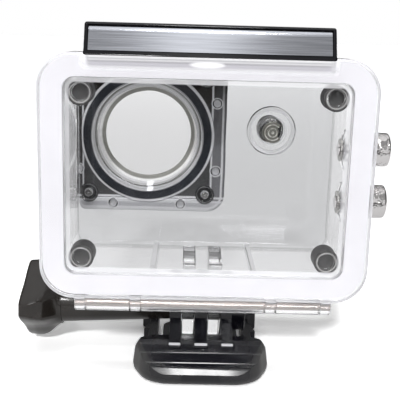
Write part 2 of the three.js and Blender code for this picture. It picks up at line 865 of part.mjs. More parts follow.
function leastSpringGap() {
  const total = springTurns * springStepsPerTurn;
  const points = Array.from({ length: total + 1 }, (_, i) => springPoint(i / springStepsPerTurn));
  let least = Infinity;
  for (let i = 0; i < points.length; i++) {
    for (let j = i + springStepsPerTurn / 2; j < points.length; j++) {
      least = Math.min(least, points[i].distanceTo(points[j]) - springWire);
    }
  }
  return least;
}
console.log("least gap between spring turns: " + leastSpringGap().toFixed(2) + " mm");

// Thumb screw: a lobed knob and its long sleeve, moulded over a plain bolt, and the nut
function knobRing(x, mean, lobe) {
  const start = (knobTurnDegrees * Math.PI) / 180;
  const ring = [];
  for (let i = 0; i < knobPoints; i++) {
    const angle = (i * 2 * Math.PI) / knobPoints;
    const radius = mean + lobe * Math.cos(knobLobes * (angle - start));
    ring.push([x, radius * Math.cos(angle), radius * Math.sin(angle)]);
  }
  return ring;
}
function thumbKnob() {
  const profileShares = [
    [0, 0.62, 0.5],
    [0.04, 0.84, 0.8],
    [0.17, 0.98, 1],
    [0.42, 1, 1],
    [0.6, 0.93, 0.9],
    [0.78, 0.76, 0.5],
    [0.93, 0.61, 0.1],
  ];
  const rings = profileShares.map(([along, meanShare, lobeShare]) =>
    knobRing(along * knobThickness - knobReach, meanShare * knobMeanRadius, lobeShare * knobLobe),
  );
  rings.push(knobRing(knobThickness - knobReach, sleeveKnobRadius, 0));
  rings.push(knobRing(-stackHalf - runGap, sleeveEndRadius, 0));
  const bore = rodX(boltRadius + runGap, knobWall - knobReach, 0, 0, 0);
  return loft(rings).subtract(bore);
}
function thumbBolt() {
  return rodX(boltRadius, knobWall + runGap - knobReach, stackHalf + nutBossThickness + fitGap, 0, 0);
}
function hexagonRadius(acrossFlats) {
  return acrossFlats / 2 / Math.cos(Math.PI / 6);
}
function hexNut() {
  const to = stackHalf + nutBossThickness - runGap / 2;
  const body = rodX(hexagonRadius(nutAcrossFlats), to - nutThickness, to, 0, 0, 6);
  return body.subtract(crossBore(boltRadius + runGap, 0, 0));
}

// Buckle: ribbed foot, base plate, two spring fingers, three prongs and the nut's boss
const baseFront = prongRadius + baseFlare;
const footFront = -baseFront - footBehindProngs;
const footRear = footFront - footLength;
const footWideAt = footRear + footCheekLength;
const footWidth = baseWidth + 2 * (fingerGap + fingerWidth + footOverhang);
const footRearWidth = footWidth - 2 * footRearTaper;
const footFrontWidth = footWidth - 2 * footFrontTaper;
function buckle() {
  const bossEnd = stackHalf + nutBossThickness;
  const boss = rodX(nutBossRadius, stackHalf - runGap, bossEnd, 0, boltHeight, roundFaces);
  const pocketRadius = hexagonRadius(nutAcrossFlats + fitGap);
  const pocketFloor = bossEnd - nutThickness - 2 * runGap;
  const middle = prongThickness / 2;
  const body = join([
    buckleFoot(),
    slabZ(baseOutline(), 0, baseThickness),
    ...[-1, 1].map(springFinger),
    buckleProng(-middle, middle),
    buckleProng(outerProngFace, stackHalf),
    buckleProng(-stackHalf, -outerProngFace),
    boss,
  ]);
  const pocket = rodX(pocketRadius, pocketFloor, bossEnd + overrun, 0, boltHeight, 6);
  return body.subtract(pocket).subtract(crossBore(boltRadius + runGap, 0, boltHeight));
}
function buckleProng(from, to) {
  const eye = rodX(prongRadius, from, to, 0, boltHeight, roundFaces);
  const half = prongRadius + baseFlare;
  const stem = polygon([
    [-half, baseThickness / 2],
    [half, baseThickness / 2],
    [half, baseThickness],
    [prongRadius, boltHeight],
    [-prongRadius, boltHeight],
    [-half, baseThickness],
  ]);
  return eye.add(slabX(stem, from, to));
}
function baseOutline() {
  const half = baseWidth / 2;
  return polygon([
    [-half, footWideAt],
    [half, footWideAt],
    [half, baseFront - baseCorner],
    [half - baseCorner, baseFront],
    [baseCorner - half, baseFront],
    [-half, baseFront - baseCorner],
  ]);
}
function footRing(height, rear, rearWidth, width, frontWidth) {
  const cornerWidth = rearWidth + (width - rearWidth) * footCornerWideShare;
  const half = [
    [rearWidth / 2, rear],
    [cornerWidth / 2, rear + (footWideAt - rear) * footCornerLongShare],
    [width / 2, footWideAt],
    [width / 2, footFront - footFrontCorner],
    [frontWidth / 2, footFront],
  ];
  const mirrored = half.map(([x, y]) => [-x, y]).reverse();
  return [...half, ...mirrored].map(([x, y]) => [x, y, height]);
}
function leaningRing(height, share) {
  const side = 2 * footSideLean * share;
  const rear = footRear + footRearLean * share;
  const rearWidth = footRearWidth - 2 * footTopTaper * share;
  return footRing(height, rear, rearWidth, footWidth - side, footFrontWidth - side);
}
function roundedRing(inset, height) {
  const sizes = [footRearWidth, footWidth, footFrontWidth].map((size) => size - inset);
  return footRing(height, footRear + inset, ...sizes);
}
function buckleFoot() {
  const halfWay = footUnderRound * (1 - Math.SQRT1_2);
  const body = loft([
    roundedRing(footUnderRound, 0),
    roundedRing(halfWay, halfWay),
    roundedRing(0, footUnderRound),
    leaningRing(footShoulder, footShoulderShare),
    leaningRing(footTop, 1),
  ]);
  const nose = [footRear + footNoseRound, footNose];
  const rise = (footTop - footNose) / ribCount;
  const run = (footWideAt - nose[0]) / ribCount;
  const ribs = [];
  for (let i = 0; i < ribCount; i++) {
    ribs.push([nose[0] + i * run, nose[1] + i * rise - (i ? ribDepth : 0)]);
    ribs.push([nose[0] + (i + 1) * run - ribDepth, nose[1] + (i + 1) * rise]);
  }
  const side = polygon([
    [footRear - overrun, 0],
    [footFront + overrun, 0],
    [footFront + overrun, footTop],
    ...ribs.reverse(),
    [footRear, footNose - footNoseRound],
    [footRear - overrun, footNose - footNoseRound],
  ]);
  return body.intersect(slabX(side, -footWidth, footWidth));
}
function springFinger(side) {
  const inner = baseWidth / 2 + fingerGap;
  const outer = inner + fingerWidth;
  const place = (points) => polygon(points.map(([x, y]) => [side * x, y]));
  const arm = place([
    [inner, footFront - footFrontCorner],
    [outer, footFront - footFrontCorner],
    [outer, barbRear],
    [outer + barbReach, barbRear],
    [outer, barbRear + barbLength],
    [outer, fingerTip],
    [inner, fingerTip],
  ]);
  const tab = place([
    [inner, fingerTip - tabLength],
    [outer, fingerTip - tabLength],
    [outer + tabReach, fingerTip - tabLength / 2],
    [outer + tabReach, fingerTip],
    [inner, fingerTip],
  ]);
  return slabZ(arm, fingerLift, fingerHeight).add(slabZ(tab, fingerLift, tabHeight));
}

// The assembly
function group(place, meshes) {
  const made = new THREE.Group();
  made.position.set(...place);
  made.add(...meshes);
  return made;
}
function buttonGroup(name, site) {
  const made = group(site.place, [
    piece(name + "_cap", buttonCap(site.cap), chrome),
    piece(name + "_spring", loft(springRings()), steel),
    piece(name + "_seal", buttonSeal(), greyRubber),
    piece(name + "_clip", buttonClip(), steel),
  ]);
  made.rotation.set(...site.turn);
  return made;
}
const doorGroup = group([0, 0, 0], [
  piece("rear_door", rearDoor(), clearPlastic),
  piece("door_gasket", doorGasket(), whiteSilicone),
  ...padPlaces().map(([x, z], i) => {
    const pad = piece("door_pad_" + (i + 1), doorPad(), greyRubber);
    pad.position.set(x, plugDepth, z);
    return pad;
  }),
]);
const latchGroup = group([0, 0, 0], [
  piece("latch_lever", latchLever(), blackPlastic),
  piece("latch_plate", latchPlate(0, 0), brushedMetal),
]);
const caseGroup = group([0, -boltY, boltHeight - boltZ], [
  piece("front_shell", frontShell(), clearPlastic),
  piece("hinge_pin", hingePin(), steel),
  piece("latch_pin", latchPin(), steel),
  piece("lens_gasket", lensGasket(), greyRubber),
  piece("lens_window", lensWindow(), glass),
  piece("lens_bezel", lensBezel(), smokedPlastic),
  ...screwPlaces().map(([x, z], i) => {
    const screw = piece("bezel_screw_" + (i + 1), bezelScrew(), steel);
    screw.position.set(x, 0, z);
    return screw;
  }),
  ...Object.entries(buttonSites).map(([name, site]) => buttonGroup(name, site)),
  doorGroup,
  latchGroup,
]);
const screwGroup = group([0, 0, boltHeight], [
  piece("thumb_knob", thumbKnob(), mattePlastic),
  piece("thumb_bolt", thumbBolt(), steel),
  piece("hex_nut", hexNut(), steel),
]);
const part = group([0, 0, 0], [piece("buckle", buckle(), blackPlastic), caseGroup, screwGroup]);

export default part;
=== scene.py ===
"""Looks of an underwater camera housing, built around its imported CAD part."""

import math

import bpy
import numpy as np
from mathutils import Matrix, Vector


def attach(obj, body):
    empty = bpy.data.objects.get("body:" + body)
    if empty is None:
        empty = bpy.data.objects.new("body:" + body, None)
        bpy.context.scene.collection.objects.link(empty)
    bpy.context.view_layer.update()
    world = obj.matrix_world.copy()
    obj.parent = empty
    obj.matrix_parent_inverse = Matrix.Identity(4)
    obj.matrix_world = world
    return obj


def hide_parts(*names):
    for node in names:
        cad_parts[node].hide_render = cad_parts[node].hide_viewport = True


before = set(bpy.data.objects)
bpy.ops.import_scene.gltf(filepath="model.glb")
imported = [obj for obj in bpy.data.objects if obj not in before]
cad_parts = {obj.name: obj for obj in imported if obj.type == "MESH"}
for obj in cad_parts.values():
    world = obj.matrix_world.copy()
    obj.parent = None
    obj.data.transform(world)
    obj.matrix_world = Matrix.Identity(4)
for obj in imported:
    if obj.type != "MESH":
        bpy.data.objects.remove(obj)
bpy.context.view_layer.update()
scene = bpy.context.scene
scene.view_settings.view_transform = "Standard"


# Studio: the housing stands on a white sheet that runs on behind it, under one lamp behind
# the viewer and a long soft box above, in a dim room. Rays that look at the sheet or past it
# see it a little lighter than it lights the object, so that the background comes out white.
class Shade:
    """A socket in a node tree. Sums, differences, products and powers of it add Math nodes."""

    def __init__(self, tree, socket=None):
        self.tree, self.socket = tree, socket

    def node(self, kind, settings=(), inputs=(), output=0):
        made = self.tree.nodes.new(kind)
        for name, value in dict(settings).items():
            setattr(made, name, value)
        for name, value in dict(inputs).items():
            if isinstance(value, Shade):
                self.tree.links.new(value.socket, made.inputs[name])
            else:
                made.inputs[name].default_value = value
        return Shade(self.tree, made.outputs[output] if made.outputs else None)

    def maths(self, operation, *others):
        return self.node("ShaderNodeMath", {"operation": operation}, enumerate((self, *others)))

    def __add__(self, other):
        return self.maths("ADD", other)

    def __sub__(self, other):
        return self.maths("SUBTRACT", other)

    def __rsub__(self, other):
        return self.node("ShaderNodeMath", {"operation": "SUBTRACT"}, {0: other, 1: self})

    def __mul__(self, other):
        return self.maths("MULTIPLY", other)

    def __pow__(self, other):
        return self.maths("POWER", other)

    def __abs__(self):
        return self.maths("ABSOLUTE")

    __radd__, __rmul__ = __add__, __mul__

    def steps(self, low, high, to_low=0.0, to_high=1.0):
        """The value carried from low..high to to_low..to_high, and held beyond."""
        places = {"Value": self, 1: low, 2: high, 3: to_low, 4: to_high}
        return self.node("ShaderNodeMapRange", {"clamp": True}, places)

    def blend(self, first, second):
        """Colour first where this is 0 and second where it is 1."""
        settings = {"data_type": "RGBA"}
        return self.node("ShaderNodeMix", settings, {0: self, 6: first, 7: second}, 2)

    def axes(self):
        """x, y and z of a place or a direction."""
        split = self.node("ShaderNodeSeparateXYZ", (), {0: self}).socket.node
        return [Shade(self.tree, part) for part in split.outputs]

    def noise(self, scale, detail):
        values = {"Vector": self, "Scale": scale, "Detail": detail}
        return self.node("ShaderNodeTexNoise", (), values)

    def bump(self, strength, distance):
        values = {"Strength": strength, "Distance": distance, "Height": self}
        return self.node("ShaderNodeBump", (), values)

    def rays(self, *kinds):
        """For each kind of ray, a value that is 1 where such a ray arrives."""
        return [self.node("ShaderNodeLightPath", output="Is " + kind + " Ray") for kind in kinds]


def grey(level):
    return (level, level, level, 1)


def nodes_of(owner):
    owner.use_nodes = True
    owner.node_tree.nodes.clear()
    return Shade(owner.node_tree)


def new_material(name):
    """A material with nothing in it yet, and the place on the piece that its finish reads."""
    made = bpy.data.materials.new(name)
    return made, nodes_of(made).node("ShaderNodeTexCoord", output="Object")


paper, place = new_material("white_paper")
eye, shiny, through = place.rays("Camera", "Glossy", "Transmission")
away = place.axes()[1]
# 0 near the viewer and 1 from the object on
beyond = away.steps(-0.20, -0.08)
white_to_eye, white_to_lamps, near_end, near_end_through = 2.1, 0.8, 0.17, 0.45
white = eye * white_to_eye + shiny * beyond.steps(0, 1, near_end, 1)
white = white + through * beyond.steps(0, 1, near_end, near_end_through)
white = white + (1 - eye - shiny - through) * white_to_lamps
white = place.node("ShaderNodeCombineColor", (), {0: white, 1: white, 2: white})
lit = place.node("ShaderNodeBsdfDiffuse", (), {"Color": white})
glowing = beyond * (away.steps(0.13, 0.85, 0.53, 0.80) + away.steps(0.02, 0.06, 0.22, 0))
glow = place.node("ShaderNodeEmission", (), {"Color": grey(1), "Strength": through * glowing})
both = place.node("ShaderNodeAddShader", (), {0: lit, 1: glow})
place.node("ShaderNodeOutputMaterial", (), {"Surface": both})

floor_reach = 6.0
sheet = bpy.data.meshes.new("paper_sheet")
corners = floor_reach * np.array([[-1, -1, 0], [1, -1, 0], [1, 1, 0], [-1, 1, 0]])
sheet.from_pydata(corners.tolist(), [], [(0, 1, 2, 3)])
sheet.materials.append(paper)
floor = bpy.data.objects.new("paper_sheet", sheet)
scene.collection.objects.link(floor)

# The room by the direction of a ray, each part of which runs from -1 to 1. It is white for the
# eye. In mirrors it is dim low down, with one bright window behind the viewer, and light above.
room = bpy.data.worlds.new("studio_room")
scene.world = room
shade = nodes_of(room)
across, away, height = shade.node("ShaderNodeTexCoord", output="Generated").axes()
behind = away.steps(0.15, -0.35)
window = across.steps(-0.09, -0.01) * across.steps(0.03, 0.11, 1, 0) * height.steps(0.2, 0.5)
dim = height.steps(0.8, 0.97, 0.33, 0.95) + height.steps(0.25, 0.45, 0.45, 0) + window * 0.75
ahead = height.steps(0.55, 0.9, 0.16, 0.8)
mirrored = (dim * behind + ahead * (1 - behind)) * across.steps(0.45, 0.8, 1, 0.15)
eye, shiny, through = shade.rays("Camera", "Glossy", "Transmission")
white_ahead, fill = 0.9, 0.28
seen_through = behind * dim + (1 - behind) * white_ahead
level = eye + through * seen_through + shiny * mirrored + (1 - eye - shiny - through) * fill
back = shade.node("ShaderNodeBackground", (), {"Color": grey(1), "Strength": level})
shade.node("ShaderNodeOutputWorld", (), {"Surface": back})


def lamp(name, kind, place, aim, energy, **settings):
    made = bpy.data.objects.new(name, bpy.data.lights.new(name, kind))
    made.data.energy = energy
    for key, value in settings.items():
        setattr(made.data, key, value)
    made.location = place
    made.rotation_euler = (Vector(aim) - Vector(place)).to_track_quat("-Z", "Y").to_euler()
    scene.collection.objects.link(made)
    return made


lamp_height = math.radians(31)
lamp_way = Vector((-0.10, -math.cos(lamp_height), math.sin(lamp_height))).normalized()
key = lamp("key_lamp", "SUN", lamp_way, (0, 0, 0), 1.2, angle=math.radians(4))
key.visible_glossy = False
front = lamp("front_fill", "SUN", (0.1, -1, 0.12), (0, 0, 0), 0.65, angle=math.radians(16))
front.visible_glossy = False
lamp("key_head", "AREA", lamp_way, (0, 0, 0.04), 1.7, shape="DISK", size=0.1)
over, beside = (0.015, -0.30, 0.60), (-0.17, -0.30, 0.60)
lamp("soft_box", "AREA", over, (0, 0, 0.03), 0.30, shape="ELLIPSE", size=0.115, size_y=0.036)
lamp("side_box", "AREA", beside, (-0.04, 0, 0.03), 0.30, shape="RECTANGLE", size=0.06, size_y=0.06)

# Camera at the photograph's place: 182 mm behind the housing and 80 mm up, looking slightly down
eye_place = (-0.0040, -0.1818, 0.0796)
pitch, yaw, roll = math.radians(12.57), math.radians(0.99), math.radians(1.569)
view = Matrix.Translation(eye_place)
for turn, axis in [(-yaw, "Z"), (math.pi / 2 - pitch, "X"), (roll, "Z")]:
    view = view @ Matrix.Rotation(turn, 4, axis)
camera = bpy.data.objects.new("camera", bpy.data.cameras.new("camera"))
camera.data.lens = 68.69
camera.data.sensor_width = 36
camera.data.clip_start = 0.005
camera.matrix_world = view
scene.collection.objects.link(camera)
scene.camera = camera


# Clear case: one injection moulding in polished polycarbonate. A tub with soft corners, a wide
# rear flange with a groove for the seal's bead, a round port barrel, collars for the buttons,
# two ears for the latch, barrels for the hinge and two prongs that stand in the buckle.
mm = 0.001
case_place = np.array([0, -20.5, 48.25])
faceted = math.radians(33)
# Which of (first, second, height) goes to x, y and z for a form that runs along each axis
order = {"X": (2, 0, 1), "Y": (0, 2, 1), "Z": (0, 1, 2)}


def soften(outline, radius, steps=4):
    """Corner c becomes (1-t)^2 a + 2t(1-t) c + t^2 b, a and b up to radius away along its edges."""
    c = np.asarray(outline, float)
    before, after = np.roll(c, 1, 0) - c, np.roll(c, -1, 0) - c
    room_before = np.linalg.norm(before, axis=1, keepdims=True)
    room_after = np.linalg.norm(after, axis=1, keepdims=True)
    reach = np.minimum(np.reshape(radius, (-1, 1)), 0.48 * np.minimum(room_before, room_after))
    a, b = c + before / room_before * reach, c + after / room_after * reach
    t = np.linspace(0, 1, steps + 1)[None, :, None]
    curve = (1 - t) ** 2 * a[:, None] + 2 * t * (1 - t) * c[:, None] + t**2 * b[:, None]
    return curve.reshape(-1, 2)


def arc(middle, radius, first, last, points):
    """Points of a circle, middle + radius (cos a, sin a), with a from first to last."""
    a = np.linspace(first, last, points)
    return np.stack([middle[0] + radius * np.cos(a), middle[1] + radius * np.sin(a)], 1)


def rounded(width, height, corner, steps=10):
    """A rectangle with corner arcs: an arc's centre plus corner (cos a, sin a) for a quarter turn."""
    a = (np.arange(4)[:, None] + np.linspace(0, 1, steps + 1)[None, :]) * math.pi / 2
    side = np.array([[1, 1], [-1, 1], [-1, -1], [1, -1]])[:, None, :]
    middle = side * (np.array([width, height]) / 2 - corner)
    return (middle + corner * np.stack([np.cos(a), np.sin(a)], 2)).reshape(-1, 2)


def inset(outline, amount):
    """Each point moves in by amount (n1 + n2) / (1 + n1.n2), from its two edges' outward normals."""
    p = np.asarray(outline, float)
    edge = np.roll(p, -1, 0) - p
    edge /= np.linalg.norm(edge, axis=1, keepdims=True) + 1e-12
    normal = np.stack([edge[:, 1], -edge[:, 0]], 1)
    last = np.roll(normal, 1, 0)
    return p - amount * (normal + last) / (1 + np.sum(normal * last, 1, keepdims=True))


def stacked(outlines, heights):
    """Each flat outline at its own height, as rings of points (first, second, height)."""
    pairs = zip(outlines, heights)
    return np.array([np.column_stack([p, np.full(len(p), height)]) for p, height in pairs])


def skin(name, rings, axis="Z", place=(0, 0, 0), closed=False):
    """A body over rings[i, j]: four-sided faces between ring i and i + 1 and point j and j + 1, and
    a flat face on the first and last ring, or faces from the last to the first where it is closed."""
    m, n = rings.shape[:2]
    i, j = np.meshgrid(np.arange(m if closed else m - 1), np.arange(n), indexing="ij")
    a, b = i * n + j, i * n + (j + 1) % n
    c, d = (i + 1) % m * n + (j + 1) % n, (i + 1) % m * n + j
    faces = np.stack([a, b, c, d], 2).reshape(-1, 4)
    points = rings[:, :, order[axis]].reshape(-1, 3)
    p, q, r, s = (points[faces[:, k]] for k in range(4))
    volume = np.sum(p * np.cross(q, r)) + np.sum(p * np.cross(r, s))
    ends = [] if closed else [np.arange(n), np.arange((m - 1) * n, m * n)]
    for end, turn in zip(ends, (-1, 1)):
        e = points[end] - points[end].mean(0)
        area = np.sum(np.cross(e, np.roll(e, -1, 0)), 0)
        volume += turn * float(np.dot(points[end].mean(0), area))
    faces, ends = faces.tolist(), [end[::turn].tolist() for end, turn in zip(ends, (-1, 1))]
    if volume < 0:
        faces, ends = [f[::-1] for f in faces], [f[::-1] for f in ends]
    mesh = bpy.data.meshes.new(name)
    mesh.from_pydata(((points + np.asarray(place)) * mm).tolist(), [], faces + ends)
    made = bpy.data.objects.new(name, mesh)
    scene.collection.objects.link(made)
    return made


def prism(name, outline, low, high, edge, axis, place=(0, 0, 0), steps=3):
    """The outline from low to high, set in by edge (1 - sin a) at edge (1 - cos a) from each end."""
    p = np.asarray(outline, float)
    q = np.roll(p, -1, 0)
    p = p if np.sum(p[:, 0] * q[:, 1] - q[:, 0] * p[:, 1]) > 0 else p[::-1]
    a = np.linspace(0, math.pi / 2, steps + 1)
    insets, along = edge * (1 - np.sin(a)), edge * (1 - np.cos(a))
    outlines = [inset(p, amount) for amount in (*insets, *insets[::-1])]
    return skin(name, stacked(outlines, (*(low + along), *(high - along)[::-1])), axis, place)


def turned(name, profile, axis, place=(0, 0, 0), closed=False, count=64):
    """The profile of radius r and height h turned about the axis: r cos a, r sin a and h."""
    p = np.asarray(profile, float)
    a = np.arange(count) * 2 * math.pi / count
    r, h = p[:, :1], p[:, 1:]
    return skin(name, np.stack([r * np.cos(a), r * np.sin(a), h + 0 * a], 2), axis, place, closed)


def rod(name, radius, low, high, axis, place=(0, 0, 0), edge=0.0, count=48):
    """A round bar whose ends are rounded by edge."""
    a = np.linspace(0, math.pi / 2, 4 if edge else 1)
    out, along = radius - edge * (1 - np.sin(a)), edge * (1 - np.cos(a))
    low_end, high_end = np.column_stack([out, low + along]), np.column_stack([out, high - along])
    return turned(name, np.concatenate([low_end, high_end[::-1]]), axis, place, False, count)


def combined(name, start, *steps):
    """start with each step's bodies joined on, cut off or kept in common, in turn, as one mesh."""
    scratch = [start]
    for operation, bodies in steps:
        for body in bodies:
            modifier = start.modifiers.new(operation, "BOOLEAN")
            modifier.operation, modifier.solver, modifier.object = operation, "MANIFOLD", body
            scratch.append(body)
    ready = start.evaluated_get(bpy.context.evaluated_depsgraph_get())
    made = bpy.data.objects.new(name, bpy.data.meshes.new_from_object(ready))
    scene.collection.objects.link(made)
    for body in scratch:
        bpy.data.objects.remove(body)
    return made


def dress(piece, material, body, nodes):
    """Smooth faces with sharp edges past an angle, a finish, and the CAD nodes the piece stands for."""
    piece.data.polygons.foreach_set("use_smooth", np.ones(len(piece.data.polygons), bool))
    piece.data.set_sharp_from_angle(angle=faceted)
    modifier = piece.modifiers.new("even_normals", "WEIGHTED_NORMAL")
    modifier.keep_sharp = True
    piece.data.materials.clear()
    piece.data.materials.append(material)
    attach(piece, body)
    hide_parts(*nodes)


def clear_finish(name, tint, lamp_tint, haze, painted_shade_tint=None, painted_light_masks=None):
    """Clear plastic: polished, with a faint haze in patches and a ripple from the mould. Lamps
    reach what is behind it by a see-through stand-in that takes lamp_tint at each face. The
    thick front wall, past y = 4 mm and above z = 23 mm, may take a deeper grey tint, painted shade
    that darkens what is seen through it. The last argument gives, at each place, how far a white
    cloud covers the plastic as painted light, how much that cloud glows as painted glow, and how
    far it is painted darker as painted shade."""
    made, place = new_material(name)
    rough = place.noise(90.0, 3.0).steps(0.45, 0.75, haze * 0.4, haze)
    ripple = place.noise(160.0, 1.0).bump(0.05, 0.0004)
    # Painted shade: the front wall's deeper grey tint darkens what is seen through it.
    if painted_shade_tint:
        _, depth, height = place.axes()
        tint = (depth.steps(0.0035, 0.0045) * height.steps(0.0225, 0.0235)).blend(tint, painted_shade_tint)
    body = place.node("ShaderNodeBsdfPrincipled", (), {
        "Base Color": tint, "Roughness": rough, "IOR": 1.49, "Transmission Weight": 1.0,
        "Normal": ripple})
    # Painted light: a white cloud over the clear plastic that glows, painted darker where asked.
    if painted_light_masks:
        amount, glow, painted_shade = painted_light_masks(place)
        painted_light_shader = place.node("ShaderNodeBsdfPrincipled", (), {
            "Base Color": painted_shade.blend((0.86, 0.86, 0.9, 1), (0.42, 0.41, 0.46, 1)),
            "Roughness": 0.35, "Emission Color": glow.blend(grey(0.2), grey(1)),
            "Emission Strength": 1.0})
        body = place.node("ShaderNodeMixShader", (), {0: amount, 1: body, 2: painted_light_shader})
    see = place.node("ShaderNodeBsdfTransparent", (), {"Color": lamp_tint})
    for kind in place.rays("Diffuse", "Shadow"):
        body = place.node("ShaderNodeMixShader", (), {0: kind, 1: body, 2: see})
    place.node("ShaderNodeOutputMaterial", (), {"Surface": body})
    return made


# Places on the case in mm from its middle, x to the right and z up, y away from its rear face
port_axis = (-14.2, 5.3)
boss_off, peg_far, peg_near = 14.6, 17.1, 8.45
port_middle = ((case_place + [port_axis[0], 0, port_axis[1]]) * [1, 0, 1] * mm).tolist()


def port_places(place):
    """x and z from the port's axis, and y."""
    move = {"operation": "SUBTRACT"}
    return place.node("ShaderNodeVectorMath", move, {0: place, 1: port_middle}).axes()


def stripe(value, low, high, blur=0.00012):
    """1 between low and high, 0 outside them, with soft edges."""
    return value.steps(low - blur, low + blur) * value.steps(high - blur, high + blur, 1, 0)


def from_spots(x, z, across=0.0, high=0.0):
    """Distance, seen from behind, to the nearest of the four points at plus and minus across and
    high: the root of (|x| - across)^2 + (|z| - high)^2."""
    return ((abs(x) - across) ** 2 + (abs(z) - high) ** 2) ** 0.5


def outside(x, z, across, high):
    """How far a place lies outside a rectangle of these half sizes: the root of
    max(|x| - across, 0)^2 + max(|z| - high, 0)^2."""
    a, b = (abs(x) - across).maths("MAXIMUM", 0.0), (abs(z) - high).maths("MAXIMUM", 0.0)
    return (a ** 2 + b ** 2) ** 0.5


def fixings(x, z):
    """Distances to the nearest locating peg and to the nearest screw boss round the port."""
    far, near = peg_far * mm, peg_near * mm
    peg = from_spots(x, z, far, near).maths("MINIMUM", from_spots(x, z, near, far))
    return peg, from_spots(x, z, boss_off * mm, boss_off * mm)


def painted_rim_line(place):
    """Painted light: a faint white line of cloud along the edge of the flange and of the door's plate."""
    x, _, z = place.axes()
    return stripe(outside(x, z - case_place[2] * mm, 0.0282, 0.019), 0.0067, 0.0075) * 0.25


def case_painted_light(place):
    """Painted light on the case, as white cloud: rings in the port's barrel with a painted highlight
    at its foot that also glows, rings round the locating pegs, the bosses and the front button's
    collar, lines on the floor ribs and the flange's rim, and, a little and painted darker, the
    hinge's barrels."""
    x, y, z = port_places(place)
    case_x, case_z = x + port_axis[0] * mm, z + port_axis[1] * mm
    out = from_spots(x, z)
    in_port = y.steps(0.0068, 0.0072)
    # Painted light: white rings in the port's barrel.
    rings = stripe(out, 0.0116, 0.0129) * y.steps(0.0090, 0.0100, 0.6, 1)
    rings = rings + stripe(out, 0.0133, 0.0137)
    # Painted highlight: a bright streak at the foot of the port's barrel, which also glows.
    painted_glint = stripe(x, 0.0001, 0.0014, 0.0003) * z.steps(-0.0105, -0.0098, 1, 0)
    barrel = in_port * (rings * 0.8 + painted_glint * out.steps(0.0136, 0.0138, 1, 0))
    # Painted highlights: pale rings round the pegs, the bosses and the front button's collar, and lines
    # on the ribs.
    peg, boss = fixings(x, z)
    studs = peg.steps(0.0009, 0.0010, 0.6, 0) + boss.steps(0.0010, 0.0011, 0.5, 0)
    studs = y.steps(0.0080, 0.0081) * studs
    rib = abs(abs(case_x) - rib_off * mm).steps(0.0008, 0.00085, 0.5, 0)
    rib = rib * case_z.steps(-0.0222, -0.0221, 1, 0) * y.steps(-0.018, -0.017)
    hinge = case_z.steps(-0.0268, -0.0264, 0.05, 0) * y.steps(-0.0170, -0.0165, 1, 0)
    button = from_spots(x - 0.0307, z - 0.0020)
    button = stripe(button, 0.0050, 0.0056) * 0.5 + stripe(button, 0.0032, 0.0036) * 0.4
    button = button * y.steps(0.0055, 0.0060)
    return barrel + studs + rib + painted_rim_line(place) + hinge + button, in_port * painted_glint, hinge


def axis_through(x, z):
    return case_place + np.array([x, 0, z])


def rods(radius, low, high, spots, edge=0.0, count=24):
    """A round bar along y at each spot."""
    return [rod("rod", radius, low, high, "Y", axis_through(*spot), edge, count) for spot in spots]


def bore(radius, place, half=20):
    """A round cutter along x."""
    return rod("bore", radius, -half, half, "X", place)


# Width, height and corner radius of each outline, and how far forward each form reaches
flange, tub_outline, cavity_outline = (71, 52.6, 7.3), (66.1, 48, 5.2), (61.7, 43.6, 3)
flange_front, cavity_front, in_wall, tub_front = 3, 26.3, 27.4, 28.5
half_width, half_height, root = 33.05, 24.0, 22.9
hinge_y, hinge_z, hinge_radius = -0.85, -28.05, 1.9
latch_y, latch_z, latch_radius = 23.5, 28.0, 2.4
bolt_y, bolt_z, prong_radius = 20.5, -36.0, 7.5
hinge_place = case_place + [0, hinge_y, hinge_z]
latch_place = case_place + [0, latch_y, latch_z]
bolt_place = case_place + [0, bolt_y, bolt_z]
barrels = [(-25.75, -16.2), (-13.6, 13.6), (16.2, 25.75)]
lugs = [(-28.2, -25.9), (-16.05, -13.75), (13.75, 16.05), (25.9, 28.2)]
pin_hole, bolt_hole, thread_hole = 1.15, 2.65, 0.9
running_room, end_room = 0.3, 0.15
port_radius, port_hole, barrel_front = 13.5, 12.3, 33.2
rib_off, prong_off, prong_half, web = 11.4, 3.15, 1.5, 2.2
sides = (-1, 1)

screw_spots = [(-28.8, 19.9), (0.4, 19.9), (0.4, -9.3), (-28.8, -9.3)]
peg_pairs = [(x, z) for x in (-peg_far, peg_far) for z in (-peg_near, peg_near)]
peg_spots = [
    (port_axis[0] + a, port_axis[1] + b) for x, z in peg_pairs for a, b in ((x, z), (z, x))]
# Each push button's axis, where it leaves the wall, and the radii of its collar and its cap
button_spots = {
    "front_button": ("Y", (16.5, tub_front, 7.3), 6.0, 3.3),
    "top_button": ("Z", (15.7, 13, half_height), 4.6, 3.85),
    "upper_side_button": ("X", (half_width, 11, 5.7), 4.6, 3.85),
    "lower_side_button": ("X", (half_width, 11, -6.4), 4.6, 3.85),
}


def barrel_of_case(low, high):
    """A hinge barrel and the web that carries it: an arc under, then up to the flange."""
    under = arc((hinge_y, hinge_z), hinge_radius, -math.pi / 2, -1.5 * math.pi, 13)
    foot, web_top, web_low = -flange[1] / 2, -24.8, -27.175
    rest = [[hinge_y, hinge_z + hinge_radius], [hinge_y, foot], [0, foot], [0, web_top],
            [flange_front, web_top], [flange_front, web_low]]
    return prism("barrel", np.concatenate([under, rest]), low, high, 0.15, "X", case_place)


def ear(side):
    """An ear for the latch pin: an arc over it and a gusset down to the tub's roof."""
    near, far, gusset = side * 10.15, side * 12.55, 2.4
    over = arc((latch_y, latch_z), latch_radius, 0, math.pi, 17)
    rest = [[latch_y - latch_radius - gusset, root], [latch_y + latch_radius, root]]
    outline = np.concatenate([over, rest])
    return prism("ear", outline, min(near, far), max(near, far), 0.35, "X", case_place)


